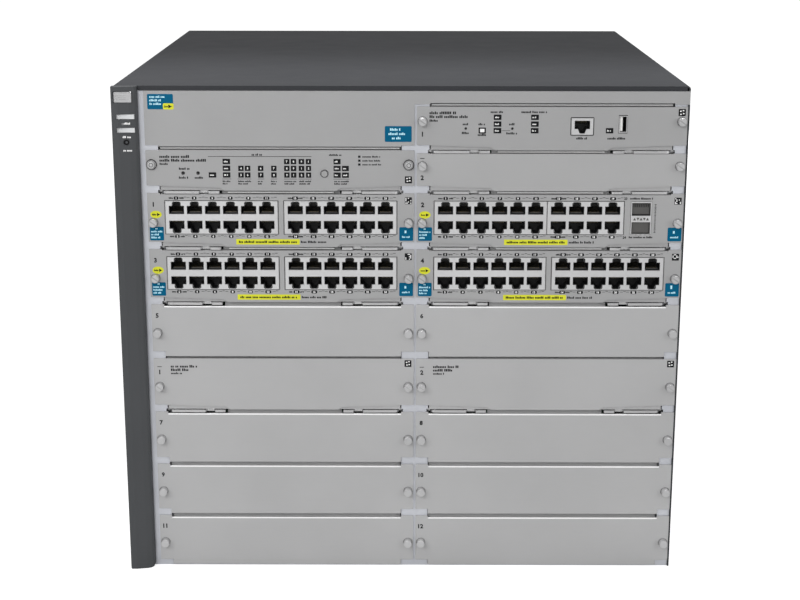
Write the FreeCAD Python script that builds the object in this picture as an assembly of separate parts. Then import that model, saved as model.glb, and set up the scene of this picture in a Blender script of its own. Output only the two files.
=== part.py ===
"""Modular chassis switch, 9 rack units high.

A folded dark cover and a plated front frame hold two columns of plug-in
modules on card guides.  Each module has a folded tray, a board, captive
screws and two ejector levers.  A midplane joins them to a fan tray and four
power supplies, which plug in from the rear.

Axes in millimetres: +X right, +Y to the rear, +Z up.  The origin is the
middle of the footprint, on the floor.
"""
import FreeCAD, Part
import math
import os

V = FreeCAD.Vector

# ---- overall size ---------------------------------------------------------
WIDTH = 440.0
HEIGHT = 393.4
COVER_DEPTH = 448.0
BEZEL_PROUD = 8.0
HANDLE_PROUD = 22.0
DEPTH = BEZEL_PROUD + COVER_DEPTH + HANDLE_PROUD
FACE = BEZEL_PROUD - DEPTH / 2
REAR = FACE + COVER_DEPTH

# ---- sheet metal ----------------------------------------------------------
COVER_SHEET = 1.2
FACE_SHEET = 1.2
FRAME_SHEET = 1.5
PAN_SHEET = 1.5
SEAT = 0.2
FRAME_FRONT = FACE + FACE_SHEET + SEAT
FRAME_BACK = FRAME_FRONT + FRAME_SHEET

# ---- rows and columns of the front ----------------------------------------
ROW_PITCH = 44.45
ROW_BASE = 5.3
SHORT_ROW = 31.75
MODULE_WIDTH = 206.5
EAR = 10.0
COLUMNS = {"left": -196.3, "right": 12.1}
EAR_HEIGHT = 38.45
SKIRT = 4.0
PORT_TOP = 37.5
BLANK_TOP = 36.0
SCREW_IN = 4.3
SCREW_UP = 15.4
SCREW_R = 3.2
SCREW_PROUD = 5.0
FLANGE = 6.0
PLAY = 0.45

# ---- module insides -------------------------------------------------------
TRAY_DEPTH = 258.0
FLOOR = (-0.2, 0.8)
EDGE_IN = 11.0
WALL_IN = 12.4
BOARD = (4.9, 6.5)
MIDPLANE_FRONT = FACE + 272.0
MIDPLANE_SHEET = 3.2

# ---- ejector levers -------------------------------------------------------
LEVER = (-6.3, -4.3)
PIVOT_IN = 5.6
PIVOT_BACK = 3.9
PIN_R = 1.65
PIN_GAP = 0.15
LEVER_END = 4.2
LEVER_REACH = 46.0

# ---- stacked network jacks ------------------------------------------------
JACK_PITCH = 13.97
JACK_BLOCK = (6.5, 32.3)
JACK_FIRST = 22.4
JACK_SECOND = 114.4
JACK_DEPTH = 13.0
JACK_BODY = 26.0
JACK_UPPER = 22.0
JACK_LOWER = 16.8
JACK_HALF = 5.9
JACK_TALL = 6.5
LATCH_KEY = ((-3.3, 6.5), (-1.9, 9.9), (1.9, 9.9), (3.3, 6.5))

# ---- rear bay -------------------------------------------------------------
REAR_SHEET = 1.5
SUPPLY_SIZE = (203.0, 116.0)
SUPPLY_CENTRES = [(x, z) for z in (67.0, 191.0) for x in (-103.5, 103.5)]
FAN_BAND = (258.0, 386.0)
FAN_X = (-153.0, -51.0, 51.0, 153.0)
FAN_R = 47.0
FAN_Z = sum(FAN_BAND) / 2


def box(x, y, z):
    """Box between two x, two y and two z values."""
    return Part.makeBox(x[1] - x[0], y[1] - y[0], z[1] - z[0], V(x[0], y[0], z[0]))


def fuse(shapes):
    first, rest = shapes[0], shapes[1:]
    return first.fuse(rest).removeSplitter() if rest else first


def upright(points, y):
    """Outline of (x, z) points, extruded along y."""
    wire = Part.makePolygon([V(x, y[0], z) for x, z in points] + [V(points[0][0], y[0], points[0][1])])
    return Part.Face(wire).extrude(V(0, y[1] - y[0], 0))


def flat(points, z):
    """Outline of (x, y) points, extruded upwards."""
    wire = Part.makePolygon([V(x, y, z[0]) for x, y in points] + [V(points[0][0], points[0][1], z[0])])
    return Part.Face(wire).extrude(V(0, 0, z[1] - z[0]))


def corners(radius, sides, outside):
    """Corners of a regular polygon drawn inside its circle, or round it for a hole."""
    reach = radius / math.cos(math.pi / sides) if outside else radius
    turns = [2 * math.pi * (k + 0.5) / sides for k in range(sides)]
    return [(reach * math.cos(t), reach * math.sin(t)) for t in turns]


def rod_y(x, z, radius, y, sides=8, outside=False):
    return upright([(x + u, z + v) for u, v in corners(radius, sides, outside)], y)


def rod_z(x, y, radius, z, sides=8, outside=False):
    return flat([(x + u, y + v) for u, v in corners(radius, sides, outside)], z)


def shaft(start, way, radius, length):
    """True cylinder, for the holes and pins that another piece turns on or bolts to."""
    return Part.makeCylinder(radius, length, V(*start), V(*way))


def mirror_x(shape, middle):
    return shape.mirror(V(middle, 0, 0), V(1, 0, 0))


def save(name, shapes):
    """Write one node: one solid, or a group of separate solids."""
    solids = [s for shape in shapes for s in shape.Solids]
    node = solids[0] if len(solids) == 1 else Part.makeCompound(solids)
    node.exportStep("parts/" + name + ".step")


# ---- the places in the front ----------------------------------------------
class Slot:
    """One place in the front: its column, lower line, face heights and screws.

    The ceiling is the lower edge of what is above, where levers may swing over the ends.
    """

    def __init__(self, column, row, ear=EAR_HEIGHT, top=BLANK_TOP, screw=SCREW_UP,
                 ceiling=ROW_PITCH - SKIRT, levers_above=True):
        self.x = COLUMNS[column]
        self.end = self.x + MODULE_WIDTH
        self.middle = self.x + MODULE_WIDTH / 2
        self.z = ROW_BASE + ROW_PITCH * min(row, 7) + SHORT_ROW * max(row - 7, 0)
        self.ear = self.z + ear
        self.top = self.z + top
        self.screw = self.z + screw
        self.ceiling = self.z + ceiling
        self.levers_above = levers_above

    def span(self, low, high):
        return self.z + low, self.z + high


SUPPORT = Slot("left", 7, ear=27.4, top=27.65, screw=16.3, ceiling=30.45, levers_above=False)
MANAGER = Slot("right", 8, ear=29.6, top=29.4, screw=18.3, ceiling=32.3, levers_above=False)
SPARE = Slot("right", 7, ear=25.3, top=25.0, screw=15.6, ceiling=27.75)
PORTS = {"a": Slot("left", 6, top=PORT_TOP), "b": Slot("right", 6, top=PORT_TOP),
         "c": Slot("left", 5, top=PORT_TOP), "d": Slot("right", 5, top=PORT_TOP)}
FABRICS = {"fabric_1": Slot("left", 3, top=EAR_HEIGHT, levers_above=False),
           "fabric_2": Slot("right", 3, top=EAR_HEIGHT, levers_above=False)}
BLANKS = [Slot(column, row, levers_above=row > 1) for row in (4, 2, 1, 0) for column in ("left", "right")]


# ---- sheet faces and captive screws ----------------------------------------
def face_sheet(slot, levers):
    """Front sheet: two ears, a deeper middle, and finger reliefs above the levers."""
    xl, xr = slot.x + EAR, slot.end - EAR
    low = slot.z - SKIRT
    left = [(xl, slot.z - 0.25), (xl + LEVER_REACH + 1.0, slot.z - 1.8), (xl + LEVER_REACH + 4.0, low)]
    if not levers:
        left = [(xl, low)]
    right = [(xl + xr - x, z) for x, z in reversed(left)]
    outline = [(slot.x, slot.z)] + [(xl, slot.z)] + left + right + [(xr, slot.z), (slot.end, slot.z)]
    outline += [(slot.end, slot.ear), (xr, slot.ear), (xr, slot.top), (xl, slot.top), (xl, slot.ear), (slot.x, slot.ear)]
    if abs(slot.top - slot.ear) < 0.01:
        outline = [p for p in outline if p not in ((xr, slot.top), (xl, slot.top))]
    points = [p for i, p in enumerate(outline) if p != outline[i - 1]]
    return upright(points, (FACE, FACE + FACE_SHEET))


def folded_face(slot, levers):
    """Face with its upper and lower edges folded back."""
    xl, xr = slot.x + EAR + 0.6, slot.end - EAR - 0.6
    low = slot.z - SKIRT
    inset = LEVER_REACH + 4.0 if levers else 0.0
    fold = (FACE, FACE + FLANGE)
    upper = box((xl, xr), fold, (slot.top - 1.0, slot.top))
    lower = box((xl + inset, xr - inset), fold, (low, low + 1.0))
    return fuse([face_sheet(slot, levers), upper, lower])


def gasket(slot):
    """Spring strip along the upper fold, which closes the gap under the next face."""
    inset = EAR + (LEVER_REACH + 6.0 if slot.levers_above else 0.6)
    x = (slot.x + inset, slot.end - inset)
    return box(x, (FACE + FLANGE - 1.0, FACE + FLANGE), (slot.top, slot.ceiling - PLAY))


def skirt(slot):
    """Inner apron behind a levered face, deeper at its ends, just over the levers."""
    y = (FACE + FACE_SHEET, FACE + FACE_SHEET + 1.0)
    ends = (slot.x + EAR + 0.6, slot.end - EAR - 0.6)
    inner = (slot.x + EAR + LEVER_REACH + 4.0, slot.end - EAR - LEVER_REACH - 4.0)
    deep, shallow = slot.span(LEVER[1] + PLAY, FLOOR[0]), slot.span(-SKIRT + 1.0, FLOOR[0])
    return [box((ends[0], inner[0]), y, deep), box(inner, y, shallow), box((inner[1], ends[1]), y, deep)]


def screw_places(slot):
    return slot.x + SCREW_IN, slot.end - SCREW_IN


def captive_screw(x, z):
    """Head of a slotted thumb screw, seated on an ear."""
    return rod_y(x, z, SCREW_R, (FACE - SCREW_PROUD, FACE))


def round_screw(x, z):
    """Low screw head on a wide washer."""
    return fuse([rod_y(x, z, 3.85, (FACE - 1.0, FACE)), rod_y(x, z, 2.8, (FACE - 2.4, FACE))])


# ---- levers -----------------------------------------------------------------
def lever_edge():
    """Corners of the plate behind its round end, as (along the face, behind the face)."""
    tooth = [(PIVOT_IN - LEVER_END, 5.0), (-1.2, 5.0), (-2.2, 6.0), (-1.2, 7.4)]
    back = [(37.0, 7.4), (38.2, 6.4), (LEVER_REACH, 6.0)]
    pad = [(LEVER_REACH, -0.2), (LEVER_REACH - 1.5, -0.6), (38.0, -0.6), (36.6, 3.0), (31.6, 3.0), (30.2, -0.6)]
    return tooth + back + pad


def lever(slot, side):
    """Ejector lever: round end on the pivot, hooked tooth, necked pad, pivot hole."""
    edge = slot.x + EAR
    low, high = slot.span(*LEVER)
    turns = [math.radians(a) for a in (260, 235, 210, 185)]
    end = [(PIVOT_IN + LEVER_END * math.cos(t), PIVOT_BACK + LEVER_END * math.sin(t)) for t in turns]
    plate = flat([(edge + u, FACE + v) for u, v in end + lever_edge()], (low, high))
    plate = plate.cut(rod_z(edge + PIVOT_IN, FACE + PIVOT_BACK, PIN_R + PIN_GAP, (low - 1, high + 1), outside=True))
    return plate if side == "left" else mirror_x(plate, slot.middle)


def pivot_pin(slot, side):
    """Pin under the tray floor, peened flush with the underside of its lever."""
    inset = EAR + PIVOT_IN
    x = slot.x + inset if side == "left" else slot.end - inset
    return shaft((x, FACE + PIVOT_BACK, slot.z + LEVER[0]), (0, 0, 1), PIN_R, FLOOR[0] - LEVER[0])


# ---- trays and boards -------------------------------------------------------
def tray(slot, windows, depth=TRAY_DEPTH, holes=(), screw=captive_screw):
    """Module carrier: face with screws, floor on the card guides, side walls, tabs, pins."""
    face = fuse([folded_face(slot, True)] + module_screws(slot, screw))
    cuts = [box(x, (FACE - 1, FACE + 3), z) for x, z in windows]
    cuts += [rod_y(x, z, r, (FACE - 1, FACE + 3), outside=True) for x, z, r in holes]
    if cuts:
        face = face.cut(cuts)
    behind = FACE + FACE_SHEET
    floor = box((slot.x + EDGE_IN, slot.end - EDGE_IN), (behind, FACE + depth), slot.span(*FLOOR))
    height = min(12.0, slot.top - slot.z - 6.0)
    walls = [box((x, x + 1.0), (FACE + 12.0, FACE + depth), slot.span(FLOOR[1], height))
             for x in (slot.x + WALL_IN, slot.end - WALL_IN - 1.0)]
    tabs = [box((x - 4.0, x + 4.0), (FACE + y, FACE + y + 1.5), slot.span(FLOOR[1], BOARD[0]))
            for x in (slot.x + 24.0, slot.end - 24.0) for y in (40.0, depth - 16.0)]
    pins = [pivot_pin(slot, side) for side in ("left", "right")]
    return [face, gasket(slot), floor] + skirt(slot) + walls + tabs + pins


def module_screws(slot, make=captive_screw):
    return [make(x, slot.screw) for x in screw_places(slot)]


def board(slot, depth=TRAY_DEPTH, front=30.0):
    """Circuit board with its rear connector and a few large parts."""
    z = slot.span(*BOARD)
    sheet = box((slot.x + 15.0, slot.end - 15.0), (FACE + front, FACE + depth - 4.0), z)
    plug = box((slot.middle - 70.0, slot.middle + 70.0), (FACE + depth - 12.0, FACE + depth + 4.0), (z[1], z[1] + 9.0))
    return [sheet, plug]


def chips(slot, places):
    top = slot.z + BOARD[1]
    return [box((slot.x + x - s / 2, slot.x + x + s / 2), (FACE + y - s / 2, FACE + y + s / 2), (top, top + h))
            for x, y, s, h in places]


def key_strip(x, xs, edge, root, way):
    """Shield strip above or below a row of jacks, with a latch key cut for each jack."""
    points = [(x[0], root), (x[0], edge)]
    for middle in xs:
        points += [(middle + u, edge + way * (v - JACK_TALL)) for u, v in LATCH_KEY]
    return points + [(x[1], edge), (x[1], root)]


def jack_block(slot, first, count):
    """Stacked jacks: rear housing, two keyed strips, light bar, end walls, partitions."""
    xs = [slot.x + first + JACK_PITCH * i for i in range(count)]
    x = (xs[0] - 8.5, xs[-1] + 8.5)
    y = (FACE - 0.3, FACE + JACK_DEPTH)
    low, high = slot.span(*JACK_BLOCK)
    upper = slot.span(JACK_UPPER, JACK_UPPER + JACK_TALL)
    lower = slot.span(JACK_LOWER - JACK_TALL, JACK_LOWER)
    solids = [box(x, (y[1], FACE + JACK_BODY), (low, high)), box(x, y, (lower[1], upper[0]))]
    solids.append(upright(key_strip(x, xs, upper[1], high, 1), y))
    solids.append(upright(key_strip(x, xs, lower[0], low, -1), y))
    edges = [x[0]] + [m + s * JACK_HALF for m in xs for s in (-1, 1)] + [x[1]]
    for wall in zip(edges[::2], edges[1::2]):
        solids += [box(wall, y, upper), box(wall, y, lower)]
    return solids


def block_window(slot, first, count):
    end = first + JACK_PITCH * (count - 1)
    return (slot.x + first - 8.8, slot.x + end + 8.8), slot.span(JACK_BLOCK[0] - 0.3, JACK_BLOCK[1] + 0.3)


# Two stacked cages for optical plugs, beside the jacks of module b.
CAGE_X = (166.0, 181.8)
CAGES = ((6.8, 16.2), (21.2, 31.3))


def plug_cages(slot):
    """Cage tower: side walls, three webs and a back round two open cages."""
    x = (slot.x + CAGE_X[0], slot.x + CAGE_X[1])
    y = (FACE - 0.3, FACE + 45.0)
    low, high = slot.span(*JACK_BLOCK)
    inner = (x[0] + 0.7, x[1] - 0.7)
    (a, b), (c, d) = [slot.span(*z) for z in CAGES]
    webs = [box(inner, y, z) for z in ((low, a), (b, c), (d, high))]
    sides = [box(wall, y, (low, high)) for wall in ((x[0], inner[0]), (inner[1], x[1]))]
    return webs + sides + [box(x, (y[1], FACE + 48.0), (low, high))]


def port_module(name, slot):
    counts = (6, 4) if name == "b" else (6, 6)
    seconds = {"b": JACK_FIRST + JACK_PITCH * 5 + 17.6}
    second = seconds.get(name, JACK_SECOND)
    windows = [block_window(slot, JACK_FIRST, counts[0]), block_window(slot, second, counts[1])]
    blocks = jack_block(slot, JACK_FIRST, counts[0]) + jack_block(slot, second, counts[1])
    if name == "b":
        windows.append(((slot.x + CAGE_X[0] - 0.3, slot.x + CAGE_X[1] + 0.3),
                        slot.span(JACK_BLOCK[0] - 0.3, JACK_BLOCK[1] + 0.3)))
        blocks += plug_cages(slot)
    save(name + "_tray", tray(slot, windows))
    sheet, plug = board(slot, front=4.0)
    parts = chips(slot, ((60, 90, 34, 3.0), (146, 90, 34, 3.0), (103, 150, 40, 14.0)))
    save(name + "_port_board", [sheet, plug] + blocks + parts)
    save_levers(name, slot)


def save_levers(name, slot):
    for side in ("left", "right"):
        save(name + "_lever_" + side, [lever(slot, side)])


# ---- support, manager, spare and fabric modules -----------------------------
SUPPORT_DOTS = ((28.5, 9.75), (40.0, 9.75))
MODE_BUTTON = (137.3, 9.45)
MANAGER_DOTS = ((37.3, 12.8), (72.9, 12.8))
CONSOLE = ((118.0, 134.6), (8.2, 20.9))
USB = ((154.4, 160.5), (9.9, 22.7))
DOT_R = 1.0
MODE_R = 2.6


def plunger(slot, place, radius, proud):
    """Push button with a collar behind the face."""
    x, z = slot.x + place[0], slot.z + place[1]
    stem = rod_y(x, z, radius - 0.12, (FACE - proud, FACE + 4.0))
    collar = rod_y(x, z, radius + 0.7, (FACE + 2.6, FACE + 6.0), sides=6)
    return fuse([stem, collar])


def button_switch(slot, place):
    """Switch body on the board, just behind a button."""
    x, z = slot.x + place[0], slot.z + place[1]
    return box((x - 3.0, x + 3.0), (FACE + 7.6, FACE + 13.0), (slot.z + BOARD[1], z + 3.0))


def support_module():
    slot = SUPPORT
    places = [(slot.x + x, slot.z + z, DOT_R) for x, z in SUPPORT_DOTS]
    places.append((slot.x + MODE_BUTTON[0], slot.z + MODE_BUTTON[1], MODE_R))
    save("support_tray", tray(slot, [], holes=places, screw=round_screw))
    switches = [button_switch(slot, place) for place in SUPPORT_DOTS + (MODE_BUTTON,)]
    save("support_board", board(slot, front=7.5) + switches + chips(slot, ((60, 90, 20, 2.5), (130, 120, 26, 3.0))))
    save("reset_button", [plunger(slot, SUPPORT_DOTS[0], DOT_R, -0.6)])
    save("clear_button", [plunger(slot, SUPPORT_DOTS[1], DOT_R, -0.6)])
    save("lamp_mode_button", [plunger(slot, MODE_BUTTON, MODE_R, 1.2)])
    save_levers("support", slot)


def console_jack(x, z):
    """Single jack, latch key down: rear housing, roof, keyed strip and two cheeks."""
    middle, y = sum(x) / 2, (FACE - 0.3, FACE + JACK_DEPTH)
    opening = (z[1] - 1.9 - JACK_TALL, z[1] - 1.9)
    strip = upright(key_strip(x, [middle], opening[0], z[0], -1), y)
    cheeks = [box(wall, y, opening) for wall in ((x[0], middle - JACK_HALF), (middle + JACK_HALF, x[1]))]
    return [box(x, (y[1], FACE + 20.0), z), box(x, y, (opening[1], z[1])), strip] + cheeks


def manager_module():
    slot = MANAGER
    console = ((slot.x + CONSOLE[0][0], slot.x + CONSOLE[0][1]), slot.span(*CONSOLE[1]))
    usb = ((slot.x + USB[0][0], slot.x + USB[0][1]), slot.span(*USB[1]))
    windows = [((x[0] - 0.3, x[1] + 0.3), (z[0] - 0.3, z[1] + 0.3)) for x, z in (console, usb)]
    dots = [(slot.x + x, slot.z + z, DOT_R) for x, z in MANAGER_DOTS]
    save("manager_tray", tray(slot, windows, holes=dots))
    port = box(usb[0], (FACE - 0.3, FACE + 16.0), usb[1])
    port = port.cut(box((usb[0][0] + 0.5, usb[0][1] - 0.5), (FACE - 1, FACE + 13.0), (usb[1][0] + 0.5, usb[1][1] - 0.5)))
    tongue = box((usb[0][0] + 0.9, usb[0][0] + 2.5), (FACE + 1.0, FACE + 13.2), (usb[1][0] + 1.2, usb[1][1] - 1.2))
    switches = [button_switch(slot, place) for place in MANAGER_DOTS]
    parts = chips(slot, ((60, 100, 30, 3.0), (130, 120, 24, 8.0)))
    save("manager_board", board(slot, front=4.0) + console_jack(*console) + [fuse([port, tongue])] + switches + parts)
    save("manager_reset_button", [plunger(slot, MANAGER_DOTS[0], DOT_R, -0.6)])
    save("shutdown_button", [plunger(slot, MANAGER_DOTS[1], DOT_R, -0.6)])
    save_levers("manager", slot)


def spare_manager():
    """Blank carrier of the second manager place, with levers but no board."""
    save("spare_manager_plate", tray(SPARE, [], depth=90.0))
    save_levers("spare_manager", SPARE)


def fabric_module(name, slot):
    save(name + "_tray", tray(slot, []))
    sinks = [box((slot.x + 70.0 + 8.0 * i, slot.x + 72.0 + 8.0 * i), (FACE + 100.0, FACE + 160.0),
                 slot.span(BOARD[1] + 2.8, BOARD[1] + 18.0)) for i in range(8)]
    base = box((slot.x + 68.0, slot.x + 130.0), (FACE + 100.0, FACE + 160.0), slot.span(BOARD[1], BOARD[1] + 3.0))
    save(name + "_board", board(slot, front=20.0) + [fuse([base] + sinks)])
    save_levers(name, slot)


# ---- chassis ----------------------------------------------------------------
EAR_HOLES_Y = (FACE + 24.0, FACE + 56.0)
EAR_HOLES_Z = (60.0, 330.0)
EAR_HOLE_R = 1.65
VENT = (52.0, 4.0)
VENT_COLUMNS = 3
VENT_ROWS = 8


def side_cuts():
    """Cooling slots and rack-ear holes, through both sides at once."""
    span = (-WIDTH / 2 - 1.0, WIDTH / 2 + 1.0)
    cuts = []
    for i in range(VENT_COLUMNS):
        y = FACE + 104.0 + i * 76.0
        for k in range(VENT_ROWS):
            z = 52.0 + k * 38.0
            cuts.append(box(span, (y, y + VENT[0]), (z, z + VENT[1])))
    cuts += [shaft((span[0], y, z), (1, 0, 0), EAR_HOLE_R, span[1] - span[0]) for y in EAR_HOLES_Y for z in EAR_HOLES_Z]
    return cuts


def outer_cover():
    """Top and sides folded from one sheet, with a turned-down front lip."""
    half, inner = WIDTH / 2, WIDTH / 2 - COVER_SHEET
    r = 2.0
    arc = [(half - r + r * math.cos(math.radians(a)), HEIGHT - r + r * math.sin(math.radians(a))) for a in (0, 30, 60, 90)]
    outside = [(half, 0)] + arc
    ri = r - COVER_SHEET
    inside = [(half - r + ri * math.cos(math.radians(a)), HEIGHT - r + ri * math.sin(math.radians(a))) for a in (90, 30, 0)]
    section = outside + [(-x, z) for x, z in reversed(outside)]
    section += [(-inner, 0)] + [(-x, z) for x, z in reversed(inside)] + inside + [(inner, 0)]
    shell = upright(section, (FACE, REAR))
    lip = box((BEZEL_X[1] + 0.2, half - 2.4), (FACE, FACE + COVER_SHEET), (389.8, HEIGHT - 0.6))
    shell = shell.cut(box((half - 2, half + 1), (FACE - 1, FACE + 1.4), (379.3, 389.75)))
    return fuse([shell, lip]).cut(side_cuts())


def base_pan():
    """Floor pan with upturned side and rear flanges inside the cover."""
    inner = WIDTH / 2 - COVER_SHEET - 0.2
    y = (FACE + 11.4, REAR - 2.4)
    floor = box((-inner, inner), y, (0, PAN_SHEET))
    sides = [box(x, y, (0, 16.0)) for x in ((-inner, -inner + PAN_SHEET), (inner - PAN_SHEET, inner))]
    beads = [box((-150.0, 150.0), (FACE + k - 4.0, FACE + k + 4.0), (PAN_SHEET - 0.5, PAN_SHEET + 0.8)) for k in (90.0, 190.0)]
    return fuse([floor] + sides + beads)


def front_frame():
    """Plated frame: three posts with returns, upper and lower rails, tooth slots."""
    half = WIDTH / 2 - COVER_SHEET - 0.2
    left, right = COLUMNS["left"], COLUMNS["right"]
    openings = [((left + EAR - 0.3, left + MODULE_WIDTH - EAR + 0.3), (1.0, 348.6)),
                ((right + EAR - 0.3, right + MODULE_WIDTH - EAR + 0.3), (1.0, 381.8))]
    sheet = box((-half, half), (FRAME_FRONT, FRAME_BACK), (0, 389.5))
    solids = [sheet]
    for x, z in openings:
        solids += [box(w, (FRAME_FRONT, FACE + 11.0), (0, z[1] + 1.2))
                   for w in ((x[0] - 1.2, x[0]), (x[1], x[1] + 1.2))]
        solids += [box((x[0] - 1.2, x[1] + 1.2), (FRAME_FRONT, FACE + 11.0), w) for w in ((0, z[0]), (z[1], z[1] + 1.2))]
    solids.append(box((-half, half), (FRAME_FRONT, FACE + 9.0), (388.3, 389.5)))
    frame = fuse(solids)
    cuts = [box(x, (FACE, FACE + 3.2), z) for x, z in openings]
    for slot in lever_slots():
        for x in (slot.x + EAR, slot.end - EAR):
            cuts.append(box((x - 3.4, x + 3.4), (FACE + 3.0, FACE + 12.0), slot.span(-7.2, -3.6)))
            cuts.append(box((x - 1.5, x + 1.5), (FACE, FACE + 4.0), slot.span(-8.2, -3.8)))
    return frame.cut(cuts)


def lever_slots():
    return [SUPPORT, MANAGER, SPARE] + list(PORTS.values()) + list(FABRICS.values())


def all_slots():
    return lever_slots() + BLANKS


def fascia_panel():
    """L-shaped blank panel over the support module and above the manager module."""
    x0, x1 = COLUMNS["left"], COLUMNS["left"] + MODULE_WIDTH
    x2, x3 = COLUMNS["right"], COLUMNS["right"] + MODULE_WIDTH
    outline = [(x0, 347.9), (x0 + EAR, 347.9), (x0 + EAR, 346.9), (x1 - EAR, 346.9), (x1 - EAR, 347.9), (x1, 347.9),
               (x1, 379.5), (x2 + EAR, 379.5), (x2 + EAR, 380.5), (x3 - EAR, 380.5), (x3 - EAR, 379.5),
               (WIDTH / 2, 379.5), (WIDTH / 2, 389.6), (x0, 389.6)]
    sheet = upright(outline, (FACE, FACE + FACE_SHEET))
    folds = [box((x0 + EAR + 0.6, x1 - EAR - 0.6), (FACE, FACE + 6.0), (346.9, 347.9)),
             box((x2 + EAR + 0.6, x3 - EAR - 0.6), (FACE, FACE + 6.0), (380.5, 381.5))]
    seats = [box((x - 3.0, x + 3.0), (FACE + 1.0, FRAME_FRONT), (381.6, 387.6)) for x in (-150.0, 0.0, 150.0)]
    return fuse([sheet] + folds + seats)


BEZEL_X = (-WIDTH / 2, -200.6)
BADGE = ((-218.1, -203.9), (381.0, 389.9))
POWER_WINDOW = ((-216.4, -202.6), (368.6, 372.4))
FAULT_WINDOW = ((-216.4, -202.6), (358.3, 362.1))
LOCATOR = (-209.2, 351.0, 2.3)


def bezel_section(inset):
    """Cross-section of the bezel: a bevelled front that leans back to the right."""
    x0, x1 = BEZEL_X[0] + inset, BEZEL_X[1] - inset
    front = FACE - BEZEL_PROUD + inset
    corner = 1.6
    nose = [(x0, front + corner), (x0 + corner * 0.3, front + corner * 0.3), (x0 + corner, front)]
    lean = [(x0 + 5.0, front + 0.1), (x1 - 6.0, front + 1.6), (x1 - 2.0, front + 3.2), (x1 - 0.4, front + 4.6), (x1, front + 6.0)]
    return nose + lean


def side_bezel():
    """Moulded strip up the left edge, hollow behind, with windows for the lamps."""
    back = FACE - 0.1
    def column(inset, z, y):
        section = bezel_section(inset)
        return flat(section + [(section[-1][0], y), (section[0][0], y)], z)
    shell = column(0.0, (0.0, HEIGHT), back)
    hollow = column(2.0, (2.0, HEIGHT - 2.0), back + 1.0)
    ribs = [box((BEZEL_X[0] + 1.0, BEZEL_X[1] - 1.0), (FACE - 5.0, back), (z, z + 1.6)) for z in (98.0, 197.0, 296.0, 344.0)]
    x1 = BEZEL_X[1]
    corner = upright([(x1 - 3.0, 0.0), (x1 - 0.9, 0.9), (x1, 3.0), (x1 + 1.0, 3.0), (x1 + 1.0, -1.0), (x1 - 3.0, -1.0)],
                     (FACE - 15.0, FACE + 15.0))
    pegs = [rod_y(sum(BEZEL_X) / 2, z + 5.0, 2.5, (FACE - 5.0, FRAME_FRONT), sides=6) for z in (98.0, 197.0, 296.0)]
    body = shell.cut(hollow).fuse(ribs + pegs).cut(corner)
    cuts = [box(x, (FACE - 12.0, FACE - 2.0), z) for x, z in (POWER_WINDOW, FAULT_WINDOW)]
    cuts.append(box(BADGE[0], (FACE - 12.0, FACE - 6.3), BADGE[1]))
    cuts.append(rod_y(LOCATOR[0], LOCATOR[1], LOCATOR[2], (FACE - 12.0, FACE - 2.0), sides=12, outside=True))
    return body.cut(cuts)


def status_lamps():
    """Two lamp windows and a round lens, each with its light guide."""
    lamps = []
    for x, z in (POWER_WINDOW, FAULT_WINDOW):
        lens = box((x[0] + 0.15, x[1] - 0.15), (FACE - 6.2, FACE - 4.0), (z[0] + 0.15, z[1] - 0.15))
        guide = box((x[0] + 5.0, x[1] - 5.0), (FACE - 4.2, FACE + 1.2), (z[0] + 0.8, z[1] - 0.8))
        lamps.append(fuse([lens, guide]))
    lamps.append(rod_y(LOCATOR[0], LOCATOR[1], LOCATOR[2] - 0.15, (FACE - 6.4, FACE + 1.2), sides=12))
    return lamps


def guide_walls():
    """Upright walls beside the two bays, with a channel for each tray edge."""
    y = (FACE + 12.5, MIDPLANE_FRONT - 0.3)
    walls = []
    for column, top in (("left", 346.0), ("right", 379.0)):
        edges = (COLUMNS[column] + EAR - 1.6, COLUMNS[column] + MODULE_WIDTH - EAR + 1.6)
        slots = [s for s in all_slots() if s.x == COLUMNS[column]]
        for edge, way in zip(edges, (-1, 1)):
            sheet = box(sorted((edge, edge + 1.2 * way)), y, (2.6, top))
            rails = []
            for slot in slots:
                reach = sorted((edge, edge - 3.6 * way))
                rails.append(box(reach, y, slot.span(FLOOR[0] - 1.3, FLOOR[0] - 0.1)))
                rails.append(box(reach, y, slot.span(FLOOR[1] + 0.2, FLOOR[1] + 1.4)))
            walls.append(fuse([sheet] + rails))
    return walls


def midplane():
    """Upright circuit board that every module plugs into, from both sides."""
    y = (MIDPLANE_FRONT, MIDPLANE_FRONT + MIDPLANE_SHEET)
    sheet = box((-196.0, 216.0), y, (4.0, 384.0))
    front = [box((slot.middle - 72.0, slot.middle + 72.0), (FACE + TRAY_DEPTH + 6.0, y[0]), slot.span(BOARD[1], BOARD[1] + 9.0))
             for slot in all_slots() if slot is not SPARE]
    rear = [box((x - 30.0, x + 30.0), (y[1], y[1] + 8.0), (z - 5.0, z + 5.0)) for x, z in SUPPLY_CENTRES + [(0.0, FAN_Z)]]
    return [sheet.fuse(front + rear).removeSplitter()]


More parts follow.
